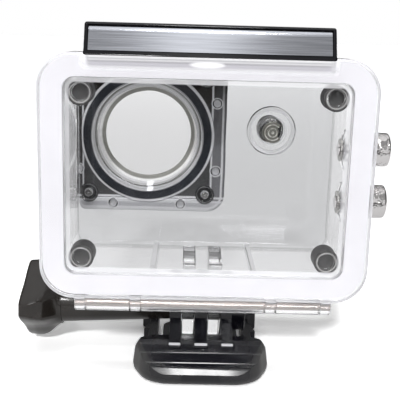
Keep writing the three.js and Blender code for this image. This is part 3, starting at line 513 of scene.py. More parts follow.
def case_prong(side):
    """A prong for the bolt: an arc under it, and a web up to the tub's floor."""
    under = arc((bolt_y, bolt_z), prong_radius, -math.pi, 0, 33)
    front, rear = bolt_y + prong_radius, bolt_y - prong_radius
    rest = [[front, -root], [rear - web, -root], [rear - web, -half_height],
            [rear, -half_height - web]]
    low, high = side * prong_off - prong_half, side * prong_off + prong_half
    return prism("prong", np.concatenate([under, rest]), low, high, 0.3, "X", case_place)


def bead_ring(width, low, high):
    """The groove's or bead's section carried round the flange, half way across it."""
    middle = 2.325
    size, corner = np.array(flange[:2]) - 2 * middle, flange[2] - middle
    a, b = (rounded(*(size + out), corner + out / 2) for out in (width, -width))
    rings = stacked([a, a, b, b], [low, high, high, low])
    return skin("bead", rings, "Y", case_place, True)


# The case's deeper front-wall tint is painted shade, and its white cloud is painted light.
case_plastic = clear_finish(
    "case_plastic", (0.97, 0.97, 0.975, 1), grey(0.8), 0.03, (0.72, 0.725, 0.73, 1), case_painted_light)
port = axis_through(*port_axis)
tub = prism("tub", rounded(*tub_outline), 0.3, tub_front, 1.1, "Y", case_place, 5)
added = [prism("flange", rounded(*flange), 0, flange_front, 0.5, "Y", case_place)]
added.append(rod("barrel", port_radius, in_wall, barrel_front, "Y", port, 0.2, 96))
added += rods(2.1, in_wall, 30.5, screw_spots, 0.3, 32) + rods(0.9, in_wall, 30.5, peg_spots, 0.2)
added += [barrel_of_case(*span) for span in barrels]
added += [form(side) for form in (ear, case_prong) for side in sides]
cut = [prism("cavity", rounded(*cavity_outline), -5, cavity_front, 1.0, "Y", case_place, 5)]
cut.append(rod("port_bore", port_hole, 20, 40, "Y", port, 0, 96))
cut += rods(thread_hole, 28.05, 34, screw_spots)
stem_hole, ring_hole, spring_hole = 1.55, 2.35, 2.82
for axis, place, collar, _ in button_spots.values():
    spot = case_place + np.array(place)
    profile = [[0.5, -1.1], [collar, -1.1], [collar, 3], [0.5, 3]]
    added.append(turned("collar", soften(profile, [0, 0, 0.35, 0]), axis, spot))
    profile = [[stem_hole, -9], [stem_hole, -1], [ring_hole, -1], [ring_hole, 0.3],
               [spring_hole, 0.3], [spring_hole, 9]]
    cut.append(turned("button_bore", profile, axis, spot, False, 48))


def room_for(spans):
    """Round room about the hinge pin for what turns on it there."""
    radius = hinge_radius + running_room
    return [rod("room", radius, a - end_room, b + end_room, "X", hinge_place) for a, b in spans]


cut += room_for(lugs)
cut += [bore(pin_hole, hinge_place, 40), bore(pin_hole, latch_place), bore(bolt_hole, bolt_place)]
cut.append(bead_ring(2.0, -3, 0.75))
ribs = []
for x in (-rib_off, rib_off):
    outline = [[x - 0.75, -root], [x + 0.75, -root], [x + 0.45, -21.2], [x - 0.45, -21.2]]
    ribs.append(prism("rib", outline, flange_front, in_wall, 0, "Y", case_place, 1))
case = combined("clear_case", tub, ("UNION", added), ("DIFFERENCE", cut), ("UNION", ribs))
dress(case, case_plastic, "housing", ["front_shell"])


# Rear door: a second clear moulding, a plate whose plug enters the case's mouth. It carries
# four studs for the pads, four hinge lugs below and the lip that the latch hooks over.
def door_painted_light(place):
    """Painted light on the door: a white cloud that glows over the lip's upper part, where the latch
    bar shades it, a painted grey band across it with a thin grey line above, broken by a painted
    highlight oval, white lines on the rims of the plate and of its plug, and a little cloud on the
    lugs below."""
    x, y, z = place.axes()
    beside = abs(x)
    # Painted light: white lines of cloud along the plug's rim, fainter at its sides, glowing more up
    # high.
    plug = outside(x, z - case_place[2] * mm, 0.02785, 0.0188)
    plug = stripe(plug, 0.0013, 0.00245) * y.steps(-0.0222, -0.0221)
    plug = plug * beside.steps(0.0278, 0.0292, 1, 0.55)
    lug = z.steps(0.0214, 0.0218, 0.05, 0)
    # Painted highlight: an oval left bright in the painted grey band.
    painted_highlight_oval = (((x + 0.0005) * 0.2) ** 2 + (z - 0.0726) ** 2) ** 0.5
    on_lip = beside.steps(0.0245, 0.0270, 1, 0)
    painted_shade = stripe(z, 0.0718, 0.0732, 0.0003) * painted_highlight_oval.steps(0.0005, 0.0008)
    painted_shade = (painted_shade + stripe(z, 0.0734, 0.0736)) * on_lip
    # Painted light: the lip's upper part, in the latch bar's shade, is clouded white and glows.
    top = z.steps(0.0708, 0.0726) * on_lip
    amount = top * 0.6 + painted_shade * 0.3 + plug * 0.5 + painted_rim_line(place) + lug
    return amount, top * (0.6 - painted_shade * 0.6) + plug * z.steps(0.060, 0.066, 0.15, 0.5), painted_shade


door_rear, door_front, lip_top = -3.9, -1.7, 27.85
door_bottom = -flange[1] / 2
pad_spots = [(-26.95, 17.9), (26.95, 17.9), (26.95, -17.9), (-26.95, -17.9)]


def lug(low, high):
    """A lug for the hinge pin: an arc under it, and up to the plate's lower edge."""
    under = arc((hinge_y, hinge_z), hinge_radius, 0, -math.pi, 13)
    root_top = -25.2
    rest = [[hinge_y - hinge_radius, door_bottom], [door_rear, door_bottom], [door_rear, root_top],
            [door_front, root_top], [door_front, door_bottom], [hinge_y, door_bottom],
            [hinge_y + hinge_radius, -27.9]]
    return prism("lug", np.concatenate([under, rest]), low, high, 0.2, "X", case_place)


door_plastic = clear_finish(
    "door_plastic", (0.97, 0.97, 0.98, 1), grey(0.96), 0.02, None, door_painted_light)
plate = prism("plate", rounded(*flange), door_rear, door_front, 0.45, "Y", case_place, 4)
added = [prism("plug", rounded(60.5, 42.4, 2.4), -2.8, 0.8, 0.25, "Y", case_place)]
added += rods(1.9, -2, 2.6, pad_spots, 0.25, 48)
# The lip leaves the hook along this slope, while the latch lifts and the door follows by its share
door_share = 100 / 130
latch_slope = (latch_y - door_rear) / ((lip_top - hinge_z) * door_share)
lip = [[door_rear, 24.75], [door_front, 24.75], [door_front, lip_top],
       [door_rear, lip_top - (door_front - door_rear) * latch_slope]]
lip_half = 20
added.append(
    prism("lip", soften(lip, [0, 0, 0.3, 0.3]), -lip_half, lip_half, 0.3, "X", case_place))
added += [lug(*span) for span in lugs]
cut = [*room_for(barrels), bore(pin_hole, hinge_place, 40)]
door = combined("clear_door", plate, ("UNION", added), ("DIFFERENCE", cut))
dress(door, door_plastic, "rear_door", ["rear_door"])


# Door gasket: a flat band of white silicone with a bead on its front face, pushed onto the
# door round its plug. The bead sits in the case's groove when the latch closes.
def surface(place, values):
    """One Principled shader with these values is the whole surface."""
    body = place.node("ShaderNodeBsdfPrincipled", (), values)
    place.node("ShaderNodeOutputMaterial", (), {"Surface": body})


def plain_finish(name, colour, roughness, metal=0.0, spread=0.06, grain=2500.0, relief=0.1,
                 depth=0.00003, **constants):
    """A base colour that varies by spread, roughness with it, and a fine grain in relief."""
    made, place = new_material(name)
    cloud = place.noise(grain / 12, 4.0)
    rgb = np.array(colour)
    low, high = rgb * (1 - spread), np.minimum(rgb * (1 + spread), 1)
    surface(place, {
        "Base Color": cloud.steps(0.3, 0.7).blend((*low, 1), (*high, 1)),
        "Roughness": cloud.steps(0.25, 0.75, roughness * 0.85, roughness * 1.15),
        "Metallic": metal, "Normal": place.noise(grain, 2.0).bump(relief, depth), **constants})
    return made


silicone = plain_finish("white_silicone", (0.93, 0.92, 0.96), 0.45, spread=0.02)
outer, inner = rounded(70, 51.6, 6.8), rounded(60.8, 42.7, 2.55)
band_rear, band_front = -1.55, -0.15
band = stacked([outer, outer, inner, inner], [band_rear, band_front, band_front, band_rear])
band = skin("band", band, "Y", case_place, True)
seal = combined("door_seal", band, ("UNION", [bead_ring(1.4, -0.85, 0.45)]))
dress(seal, silicone, "rear_door", ["door_gasket"])


# Rubber pads: four blind sleeves pushed over the door's studs, which press the camera forward.
# Black rubber gone grey where it is handled, with a painted highlight, a pale ring round the stud's end.
rubber, place = new_material("grey_rubber")
x, y, z = place.axes()
out = from_spots(x, z - case_place[2] * mm, pad_spots[1][0] * mm, pad_spots[1][1] * mm)
# Painted highlight: a pale ring on the pad's rear end, round the stud.
ring = stripe(out, 0.0019, 0.00222) * y.steps(-0.018, -0.017, 1, 0)
worn = place.noise(420.0, 4.0)
tone = worn.steps(0.35, 0.65).blend(grey(0.004), (0.032, 0.031, 0.031, 1))
surface(place, {
    "Base Color": (ring * 0.8).blend(tone, (0.62, 0.61, 0.6, 1)),
    "Roughness": worn.steps(0.3, 0.7, 0.45, 0.62),
    "Normal": place.noise(5000.0, 2.0).bump(0.2, 0.00003)})
for number, (x, z) in enumerate(pad_spots, 1):
    profile = [[2.05, 0.15], [2.75, 0.15], [2.75, 5.3], [0.05, 5.3], [0.05, 2.1], [2.05, 2.1]]
    profile = soften(profile, [0.1, 0.15, 0.45, 0, 0, 0.1])
    pad = turned("pad_" + str(number), profile, "Y", case_place + [x, 0.8, z], True)
    dress(pad, rubber, "rear_door", ["door_pad_" + str(number)])


# Hinge pin and latch pin: ground stainless wire cut to length with its ends broken, pressed
# through the barrels and through the ears. The hinge pin is as long as the door's outer lugs.
def drawn_metal(name, colour, roughness, axis):
    """Bare metal with fine lines along the wire: noise stretched forty times along the axis."""
    made, place = new_material(name)
    stretch = [3000.0 if k != axis else 70.0 for k in range(3)]
    lined = place.node("ShaderNodeVectorMath", {"operation": "MULTIPLY"}, {0: place, 1: stretch})
    lines = lined.noise(1.0, 3.0)
    rgb = np.array(colour)
    surface(place, {
        "Base Color": lines.steps(0.3, 0.7).blend((*(rgb * 0.82), 1), (*np.minimum(rgb * 1.12, 1), 1)),
        "Roughness": lines.steps(0.3, 0.7, roughness * 0.8, roughness * 1.2),
        "Metallic": 1.0, "Normal": lines.bump(0.25, 0.00002)})
    return made


pin_steel = drawn_metal("pin_steel", (0.34, 0.30, 0.28), 0.3, 0)
for name, node, half, place in [
        ("hinge_wire", "hinge_pin", 28.2, hinge_place), ("latch_wire", "latch_pin", 12.55, latch_place)]:
    wire = rod(name, 1.0, -half, half, "X", place, 0.15)
    dress(wire, pin_steel, "housing", [node])


# Latch lever: a gloss black moulding, a bar behind the door's lip on an arm that turns on the
# latch pin. Its hook rides on the lip's ramp.
gloss_black = plain_finish(
    "gloss_black", (0.006, 0.006, 0.008), 0.08, spread=0.2, grain=1500.0, relief=0.04)
ramp_gap = running_room * math.hypot(1, latch_slope)
hook_low, ramp_end, bar_half, arm_half = 26.1, -1.4, 25.5, 10
hook_tip = door_front + (hook_low - lip_top - ramp_gap) / latch_slope
ramp_high = lip_top + (ramp_end - door_front) * latch_slope + ramp_gap
bar = [[-6.4, 25.8], [hook_tip, hook_low], [ramp_end, ramp_high], [2.6, ramp_high], [2.6, 31.5],
       [1.7, 32.4], [-3.6, 32.4]]
bar = soften(bar, [0.35, 0.15, 0.15, 0.3, 0.5, 0.5, 0.5])
bar = prism("bar", bar, -bar_half, bar_half, 0.5, "X", case_place)
arm = [[-1.1, 26.7], [latch_y, 26.7], [latch_y, 29.3], [7.1, 29.3], [2.6, 31.5], [-1.1, 31.5]]
arm = soften(arm, [0, 0, 0, 1.5, 0.3, 0])
arm = prism("arm", arm, -arm_half, arm_half, 0.3, "X", case_place)
eye_barrel = rod("eye", latch_radius, -arm_half, arm_half, "X", latch_place, 0.3)
lean = math.atan2(2.8, 6.3)


def leaning(flat, x_half, edge, name):
    """A section on the bar's rear face, turned back with it by the lean: y = u cos + v sin and
    z = v cos - u sin, from the middle of that face."""
    u, v = np.asarray(flat, float).T
    y = u * math.cos(lean) + v * math.sin(lean) - 4.9
    z = v * math.cos(lean) - u * math.sin(lean) + 29.5
    return prism(name, np.stack([y, z], 1), -x_half, x_half, edge, "X", case_place)


pocket = [[-5, -3.0], [0.75, -3.0], [0.75, 2.65], [-5, 2.65]]
pocket = leaning(pocket, 24.75, 0.05, "pocket")
cut = [pocket, bore(pin_hole, latch_place)]
lever = combined("latch_bar", bar, ("UNION", [arm, eye_barrel]), ("DIFFERENCE", cut))
dress(lever, gloss_black, "latch", ["latch_lever"])


# Latch plate: a strip of brushed aluminium let into the leaning rear face of the bar. Its face
# falls back a little towards both long edges, most at the upper one.
brushed = drawn_metal("brushed_aluminium", (0.66, 0.68, 0.74), 0.13, 0)
strip_low, strip_high, strip_deep = -2.85, 2.5, 0.6
v = np.linspace(strip_low, strip_high, 18)
share = v / strip_high
crown = np.column_stack([0.02 + np.where(v > 0, 0.3 * share ** 5, 0.05 * share ** 2), v])
strip = [*crown, [strip_deep, strip_high], [strip_deep, strip_low]]
strip = leaning(strip, 24.6, 0.08, "latch_strip")
dress(strip, brushed, "latch", ["latch_plate"])


# Port window: a disc of clear acrylic on the barrel's end, bedded on a thin dark gasket. A pale
# band on the gasket, seen through the barrel's wall, is painted light, and the gasket glows
# faintly all over and the band more, as painted glow.
window_acrylic = clear_finish("window_acrylic", (0.84, 0.84, 0.84, 1), grey(0.96), 0.01)
disc = rod("port_window", port_radius, 34.35, 36.25, "Y", port, 0.25, 96)
dress(disc, window_acrylic, "housing", ["lens_window"])
gasket_rubber, place = new_material("port_rubber")
x, _, z = port_places(place)
out = from_spots(x, z)
# Painted light: a pale band on the gasket between these radii, glowing more than the rest.
pale = out.steps(0.0116, 0.0119) * out.steps(0.0129, 0.0131, 1, 0)
grain = place.noise(3000.0, 3.0)
surface(place, {
    "Base Color": pale.blend((0.27, 0.27, 0.25, 1), (0.97, 0.97, 0.96, 1)),
    "Roughness": grain.steps(0.3, 0.7, 0.45, 0.6), "Normal": grain.bump(0.15, 0.00003),
    "Emission Color": pale.blend((0.04, 0.04, 0.035, 1), grey(0.13)), "Emission Strength": 1.0})
ring = soften([[10.8, 33.35], [port_radius, 33.35], [port_radius, 34.2], [10.8, 34.2]], 0.2)
washer = turned("port_gasket", ring, "Y", port, True, 96)
dress(washer, gasket_rubber, "housing", ["lens_gasket"])


# Bezel: a smoked square plate with soft corners, moulded in one with the round ring that
# reaches over the window. Four screws hold it to the case's bosses. Its rear faces carry painted
# light and shade: white lines that also glow, at the ring's edges, round the pegs and bosses,
# along a square and a border and in bands below the ring, a near white band along the plate's
# foot, a lighter column at the right, and painted shade that darkens the plate towards the top.
smoked, place = new_material("smoked_plastic")
x, y, z = port_places(place)
out, edge = from_spots(x, z), abs(x).maths("MAXIMUM", abs(z))
peg, boss = fixings(x, z)
off_ring = out.steps(0.0165, 0.0168)
back = y.steps(0.0091, 0.0093, 1, 0)
# Painted highlights, which also glow: lines at the ring's edges, round a square, the pegs and bosses,
# along a border and in bands.
lines = stripe(out, 0.0159, 0.0165) + stripe(out, 0.0136, 0.0139) * 0.7
lines = lines + stripe(edge, 0.0158, 0.0162) * off_ring
lines = lines + stripe(peg, 0.0010, 0.0014) + stripe(boss, 0.0010, 0.0014) * 0.8
painted_border_line = stripe(outside(x, z, 0.0150, 0.0144), 0.0034, 0.0039)
lines = lines + painted_border_line * z.steps(0.004, 0.012, 1, 0.25)
painted_light_bands = stripe(z, -0.0190, -0.0184) + stripe(z, -0.0166, -0.0161) + stripe(z, -0.0156, -0.0151)
lines = lines + painted_light_bands * out.steps(0.0166, 0.0168)
lines = lines.maths("MINIMUM", 1.0)
cloud = place.noise(130.0, 4.0)
patches = cloud.steps(0.5, 0.75)
# Painted shade: the plate darker towards the top, with a painted lighter column at the right.
plate_painted_shading = z.steps(-0.016, 0.012).blend((0.13, 0.13, 0.135, 1), (0.016, 0.012, 0.009, 1))
painted_light_column = x.steps(0.0160, 0.0163) * z.steps(0.002, 0.014, 1, 0)
plate_painted_shading = painted_light_column.blend(plate_painted_shading, (0.34, 0.34, 0.36, 1))
plate_painted_shading = (patches * x.steps(0.004, -0.014) * 0.6).blend(plate_painted_shading, grey(0.16))
ring_tone = (patches * 0.5).blend((0.034, 0.039, 0.052, 1), (0.12, 0.13, 0.155, 1))
tone = out.steps(0.0160, 0.0162).blend(ring_tone, plate_painted_shading)
# Painted light: a near white band along the plate's foot, outside the ring.
tone = (z.steps(-0.0164, -0.0158, 1, 0) * off_ring).blend(tone, (0.92, 0.92, 0.96, 1))
tone = lines.blend(tone, (0.97, 0.97, 1, 1))
surface(place, {
    "Base Color": back.blend((0.020, 0.021, 0.024, 1), tone),
    "Roughness": cloud.steps(0.3, 0.7, 0.16, 0.24),
    "Normal": place.noise(1500.0, 2.0).bump(0.06, 0.00003),
    "Emission Color": (lines * 0.22 * back).blend(grey(0), grey(1)), "Emission Strength": 1.0})
plate_rear, plate_front, ring_front, cut_from = 28.8, 32.7, 37.4, 24
square = prism("square", rounded(39.0, 37.8, 4.5), plate_rear, plate_front, 0.5, "Y", port)
collar = [[5, plate_rear], [16.3, plate_rear], [16.3, 35.8], [15.5, ring_front], [5, ring_front]]
collar = turned("collar", soften(collar, [0, 0.3, 0.4, 0.3, 0]), "Y", port, False, 96)
recess = prism("recess", rounded(32, 32, 3.05), cut_from, 29.6, 0.2, "Y", port)
opening = [[13.8, cut_from], [13.8, 36.4], [11.5, 36.4], [port_hole, 37.55], [port_hole, 40]]
cut = [turned("opening", opening, "Y", port, False, 96)]
cut += rods(2.4, cut_from, 30.8, screw_spots, 0, 32) + rods(1.2, cut_from, 30.8, peg_spots)
cut += rods(thread_hole, cut_from, 40, screw_spots) + rods(1.85, 31.6, 40, screw_spots, 0, 32)
bezel = combined(
    "port_bezel", square, ("DIFFERENCE", [recess]), ("UNION", [collar]), ("DIFFERENCE", cut))
dress(bezel, smoked, "housing", ["lens_bezel"])


# Bezel screws: four small stainless pan heads with a cross recess, sunk in the bezel's corners
# and driven into the case's bosses.
screw_steel = drawn_metal("screw_steel", (0.6, 0.59, 0.57), 0.25, 1)
for number, spot in enumerate(screw_spots, 1):
    spot = axis_through(*spot)
    profile = [[0.75, 28.15], [0.75, 31.75], [1.7, 31.75], [1.7, 32.65], [0.3, 32.65]]
    profile = soften(profile, [0.2, 0.05, 0.1, 0.4, 0])
    body = turned("screw", profile[3:], "Y", spot, False, 32)
    slots = [rounded(*size, 0.1, 2) for size in [(2.4, 0.36), (0.36, 2.4)]]
    slots = [prism("slot", outline, 32.2, 34, 0, "Y", spot, 1) for outline in slots]
    screw = combined("port_screw_" + str(number), body, ("DIFFERENCE", slots))
    dress(screw, screw_steel, "housing", ["bezel_screw_" + str(number)])


# Push buttons: a chromed cap and stem turned in one, a return spring in the collar, a rubber
# ring that seals the stem in the wall and a steel clip inside the case.
chrome = plain_finish(
    "chrome", (0.82, 0.80, 0.80), 0.06, 1.0, spread=0.05, grain=700.0, relief=1.0, depth=0.0004)
spring_steel = plain_finish("spring_steel", (0.55, 0.54, 0.52), 0.25, 1.0, spread=0.08)
ring_rubber = plain_finish("ring_rubber", (0.03, 0.03, 0.03), 0.4, spread=0.15, grain=4000.0)
turned_steel, place = new_material("turned_steel")
x, _, z = place.axes()
button_x, _, button_z = (case_place + button_spots["front_button"][1]) * mm
out = from_spots(x - button_x, z - button_z)
turning_pitch = 0.00085
marks = (out * (2 * math.pi / turning_pitch)).maths("SINE").steps(0.2, 0.9)
worn = place.noise(900.0, 3.0)
tone = (marks * worn.steps(0.3, 0.6)).blend((0.10, 0.10, 0.088, 1), (0.42, 0.42, 0.39, 1))
surface(place, {
    "Base Color": tone, "Roughness": worn.steps(0.3, 0.7, 0.3, 0.4), "Metallic": 1.0,
    "Normal": marks.bump(0.3, 0.00005)})


def spring_wire(name, radius, wire, turns, low, high, axis, place):
    """Round wire on a helix: at turn t, radius + wire cos k out from the axis and wire sin k along it."""
    t = np.linspace(0, 2 * math.pi * turns, 24 * turns + 1)[:, None]
    k = np.arange(10)[None, :] * 2 * math.pi / 10
    out = radius + wire * np.cos(k) + 0 * t
    height = low + (high - low) * t / t[-1] + wire * np.sin(k)
    return skin(name, np.stack([out * np.cos(t), out * np.sin(t), height], 2), axis, place)


stem, groove, clip_low, clip_high, stem_end = 1.4, 0.95, -2.98, -2.42, -3.35
for name, (axis, place, _, cap) in button_spots.items():
    spot, along = case_place + np.array(place), "XYZ".index(axis)
    profile = [
        [stem, stem_end], [stem, clip_low], [groove, clip_low], [groove, clip_high],
        [stem, clip_high], [stem, 6.2], [spring_hole, 6.2], [spring_hole, 4.6], [cap, 4.6],
        [cap, 8.4], [0.62 * cap, 8.4], [0.55 * cap, 8.15], [0.05, 8.15]]
    radii = [0.25, 0.05, 0.03, 0.03, 0.05, 0.1, 0.1, 0.1, 0.3, 0.6, 0.15, 0.1, 0]
    key = turned(name + "_key", soften(profile, radii)[2:-2], axis, spot, False, 48)
    dress(key, chrome, name, [name + "_cap"])
    bare_steel = name == "front_button"
    key.data.materials.append(turned_steel if bare_steel else chrome)
    centres = np.empty(3 * len(key.data.polygons))
    key.data.polygons.foreach_get("center", centres)
    inside = centres.reshape(-1, 3)[:, along] < (spot[along] + 4.9) * mm
    key.data.polygons.foreach_set("material_index", inside.astype(np.int32))
    wire = spring_wire(name + "_wire", 2.45, 0.22, 4, 0.68, 4.52, axis, spot)
    dress(wire, spring_steel, "housing", [name + "_spring"])
    section = arc((1.875, -0.47), 0.38, 0, 15 * math.pi / 8, 16)
    ring = turned(name + "_ring", section, axis, spot, True, 48)
    dress(ring, ring_rubber, "housing", [name + "_seal"])
    mouth = math.radians(40)
    outside_arc, inside_arc = (
        arc((0, 0), radius, mouth, 2 * math.pi - mouth, 57) for radius in (2.6, 1.03))
    outline = np.concatenate([outside_arc, inside_arc[::-1]])
    circlip = prism(name + "_circlip", outline, -2.9, -2.5, 0.06, axis, spot)
    steel = turned_steel if bare_steel else spring_steel
    dress(circlip, steel, name, [name + "_clip"])


# Buckle: glossy black acetal moulded in one, a ribbed foot, a base between two spring fingers,
# three prongs with a hole for the bolt, and a boss that holds the nut. Lighter grey in patches
# on the foot's slanted ends, and a painted highlight, a bright line on the tips of the prongs' toes.
foot_bend = -13.4


def foot_outline(rear, rear_width, width, front_width):
    """The foot in plan: a short rear edge, round corners out to its full width, a narrower front."""
    corner = rear_width + (width - rear_width) * 0.62
    half = [[rear_width, rear], [corner, rear + (foot_bend - rear) * 0.3], [width, foot_bend],
            [width, -12.1], [front_width, -10.5]]
    half = np.array(half) * [0.5, 1]
    return soften(np.concatenate([half, half[::-1] * [-1, 1]]), 2.2, 4)


buckle_black, place = new_material("buckle_black")
x, y, z = place.axes()
beside = abs(x)
cloud = place.noise(300.0, 4.0)
rear_end, front_end = beside - 2.07 * y - 0.04895, beside - 0.554 * y - 0.02167
# Lighter grey in cloudy patches on the foot's slanted ends, stronger towards its sides.
grey_slanted_ends = rear_end.maths("MAXIMUM", front_end).steps(0, 0.0004)
grey_slanted_ends = grey_slanted_ends * y.steps(-0.0125, -0.0115, 1, 0) * beside.steps(0.0110, 0.0145, 0.25, 1)
grey_slanted_ends = grey_slanted_ends * cloud.steps(0.3, 0.7, 0.6, 1)
tone = grey_slanted_ends.blend((0.006, 0.006, 0.009, 1), (0.055, 0.054, 0.052, 1))
# Painted highlight: a bright line along the tips of the prongs' toes.
painted_toe_highlight = stripe(y, -0.0155, -0.01512, 0.00004) * z.steps(0.0076, 0.0077)
painted_toe_highlight = painted_toe_highlight * beside.steps(0.0076, 0.0078, 1, 0)
surface(place, {
    "Base Color": painted_toe_highlight.blend(tone, (0.7, 0.7, 0.73, 1)),
    "Roughness": cloud.steps(0.3, 0.7, 0.08, 0.13) + beside.steps(0.006, 0.0125, 0, 0.2),
    "Normal": cloud.bump(0.04, 0.00003)})

# The foot's rear edge, rear width, full width and front width. The underside is rounded by
# r (1 - sin a) at r (1 - cos a), and from there the sides lean in by a growing share.
foot_size, under_radius = np.array([-21.7, 19.9, 31.9, 26.1]), 2.6
set_in, lean_in = np.array([1, -1, -1, -1]), np.array([1.7, -4.8, -3.4, -3.4])
turn = np.linspace(0, math.pi / 2, 6)
sizes = [foot_size + set_in * amount for amount in under_radius * (1 - np.sin(turn))]
sizes += [foot_size + lean_in * share for share in (0.3, 0.55, 0.8, 1)]
heights = [*(under_radius * (1 - np.cos(turn))), 6.4, 7.2, 7.8, 8.2]
foot = skin("foot", stacked([foot_outline(*size) for size in sizes], heights))
# Three ribs across the foot's rear slope, each with a small lip at its crest
foot_top, slope_foot, slope = 8.2, np.array([-20.4, 4.4]), np.array([7.0, 3.8])
ribs_up = [slope_foot]
for share, tilt in [(0.17, 44.5), (0.53, 43.7), (0.87, 43.0)]:
    crest = slope_foot + share * slope + [0, 0.1]
    lip = 0.2 * np.array([math.sin(math.radians(tilt)), math.cos(math.radians(tilt))])
    ribs_up += [crest - lip - [0.02, 0.1], crest - lip, crest, crest + [0.35, -0.35]]
side_view = [[-26, -1], [-5, -1], [-5, foot_top], [foot_bend, foot_top], *ribs_up[::-1],
             [foot_size[0], 3.1], [-26, 3.1]]
side_view = prism("side", side_view, -20, 20, 0, "X", (0, 0, 0), 1)
foot = combined("foot", foot, ("INTERSECT", [side_view]))


def prong(low, high):
    """A prong: an arc over the bolt, and behind it a ramp down to a short toe on the foot."""
    over = arc(bolt_place[1:], prong_radius, 0, math.pi, 33)
    toe, deep = -15.38, 2.2
    rest = [[-prong_radius, 11.4], [-8.2, 10.8], [-15.1, 8.2], [toe, 7.93], [toe, deep],
            [8.5, deep], [8.5, 4.4]]
    return prism("prong", np.concatenate([over, rest]), low, high, 0.15, "X")


catch = [[10.7, 11.7], [13.0, 11.7], [15.2, 13.5], [15.2, 15.3], [10.7, 15.3]]


def finger(side):
    """A spring finger of the foot in plan, with its catch at the front."""
    outline = np.array([
        [13.0, -12.1], [13.0, 4], [14.5, 4], [13.0, 9], *catch[1:], [10.7, -12.1]])
    return prism("finger", soften(outline * [side, 1], 0.4), 0.4, 3.8, 0.3, "Z")


def tab(side):
    """The taller end of a finger, where it is pressed."""
    return prism("tab", soften(np.array(catch) * [side, 1], 0.4), 0.4, 5.2, 0.3, "Z")


base = [[-9.4, -13.4], [9.4, -13.4], [9.4, 6.5], [7.4, 8.5], [-7.4, 8.5], [-9.4, 6.5]]
added = [prism("base", soften(base, [0, 0, 1, 1, 1, 1]), 0, 4.4, 0.35, "Z")]
outer_near = 4.8
added += [prong(-prong_half, prong_half), prong(outer_near, 7.5), prong(-7.5, -outer_near)]
added += [form(side) for form in (finger, tab) for side in sides]
added.append(rod("boss", 6.2, 7.0, 10.9, "X", bolt_place, 0.4))


def hexagon(radius):
    turns = [k * math.pi / 3 for k in range(6)]
    return [[radius * math.cos(turn), radius * math.sin(turn)] for turn in turns]


cut = [prism("nut_room", hexagon(4.79), 7.6, 14, 0, "X", bolt_place, 1), bore(bolt_hole, bolt_place)]
buckle = combined("buckle_body", foot, ("UNION", added), ("DIFFERENCE", cut))
dress(buckle, buckle_black, "buckle", ["buckle"])


# Thumb screw: a three-lobed knob and its long tapering sleeve, moulded in matte black nylon
# over a steel bolt, and the hexagon nut that it draws against.
polish = {"Coat Weight": 0.25, "Coat Roughness": 0.12}
matte_black = plain_finish(
    "matte_black", (0.019, 0.016, 0.014), 0.20, spread=0.2, grain=3000.0, relief=0.12, **polish)
# Along x a lobe has a crest and hollows at these radii from the bolt, and this half thickness.
# Across x its outline is in complex numbers, the first lobe's crest along the real axis.
x = np.concatenate([[-43.0, -43.45], np.linspace(-43.6, -34.3, 48)])[:, None]
stations = [-43.61, -43.6, -43.4, -43.0, -41.0, -39.5, -38.0, -36.5, -35.0, -34.3]
crest = np.interp(x, stations, [9.6, 9.7, 10.1, 10.3, 10.4, 9.8, 8.7, 7.3, 6.0, 5.5])
hollow = np.interp(x, stations, [6.0, 6.1, 6.3, 6.5, 6.6, 6.5, 6.3, 6.0, 5.7, 5.5])
half = np.interp(x, [-43.6, -41, -34.3], [1.7, 2.0, 3.6])
bevel, drop, groove = 0.42, 0.31, 0.07
across_end = np.array([0, 0.25, 0.5, 0.75, 1])[None, :]
ribbed = groove * np.array([0, 1, 0, 1, 0])[None, :]
ribbed = ribbed * np.clip((-38.5 - x) / 1.5, 0, 1) * np.clip((x + 43.5) / 0.3, 0, 1)
end_face = crest - ribbed + 1j * (half - bevel) * across_end
edge = crest - drop + 1j * half
# Each flank runs from the lobe's edge to the middle of the hollow, its radius falling as a power
slide = np.linspace(0, 1, 17)[None, 1:]
flank = np.angle(edge) + (math.pi / 3 - np.angle(edge)) * slide
radius = hollow + (np.abs(edge) - hollow) * (1 - slide) ** 2.2
lobe = np.concatenate([end_face, edge, radius * np.exp(1j * flank)], 1)
lobe = np.concatenate([lobe[:, -2:0:-1].conj(), lobe], 1)
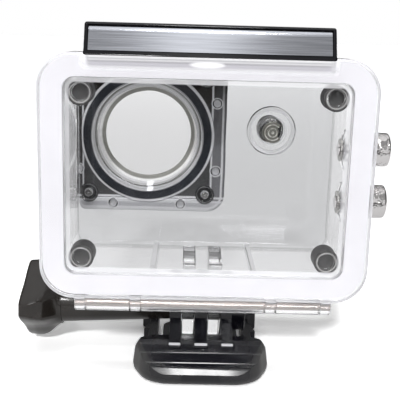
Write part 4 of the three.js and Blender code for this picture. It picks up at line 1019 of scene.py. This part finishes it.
# Towards the sleeve the lobes run into a circle, and the outer end face is drawn in by two rings
round_off = np.clip((x + 38.5) / 4.0, 0, 1) ** 2
scale = (1 - round_off) + round_off * 5.5 / np.abs(lobe)
scale[:2] *= [[0.75], [0.96]]
lobes = [scale * lobe * np.exp(1j * turn) for turn in np.radians([54, 174, 294])]
knob = np.concatenate(lobes, 1)
angle = np.angle(knob[-1:])


def round_bar(x, radius, angle):
    """Rings about the x axis: x, radius cos(angle) and radius sin(angle)."""
    return np.stack([x + 0 * angle, radius * np.cos(angle), radius * np.sin(angle)], 2)


sleeve = np.linspace(0.0, 1, 8)[:, None]
tube = round_bar(-34.28 + 26.63 * sleeve, 5 - 1.2 * sleeve + 0 * angle, angle)
knob = np.concatenate([round_bar(x, np.abs(knob), np.angle(knob)), tube])
knob = skin("knob", knob, "Z", bolt_place)
bolt_room = rod("bolt_room", 2.5, -41.1, 0, "X", bolt_place)
knob = combined("thumb_grip", knob, ("DIFFERENCE", [bolt_room]))
dress(knob, matte_black, "thumb_screw", ["thumb_knob"])

# The bolt's thread is cut in by depth (1 + cos(2 pi x / pitch - angle)), and fades out at its start
bolt_steel = drawn_metal("bolt_steel", (0.6, 0.6, 0.61), 0.28, 0)
angle = np.arange(32)[None, :] * math.pi / 16
x = np.concatenate([[-40.95], np.arange(0, 10.9, 0.1), [11.2]])[:, None]
pitch, depth = 0.8, np.clip((x - 1) / 0.4, 0, 1) * 0.17
radius = 2.49 - depth * (1 + np.cos(2 * math.pi * x / pitch - angle))
radius = radius - np.clip((x - 10.8) / 0.4, 0, 1) * 0.3
shank = skin("threaded_bolt", round_bar(x, radius, angle), "Z", bolt_place)
dress(shank, bolt_steel, "thumb_screw", ["thumb_bolt"])

nut_near, nut_far, bevelled = 7.82, 10.82, 0.38
nut = prism("nut", hexagon(4.62), nut_near, nut_far, 0, "X", bolt_place, 1)
chamfer = [[4.1, nut_near], [4.8, nut_near + bevelled], [4.8, nut_far - bevelled], [4.1, nut_far]]
chamfer = turned("chamfer", chamfer, "X", bolt_place)
cut = [bore(bolt_hole, bolt_place)]
nut = combined("steel_nut", nut, ("INTERSECT", [chamfer]), ("DIFFERENCE", cut))
dress(nut, bolt_steel, "buckle", ["hex_nut"])
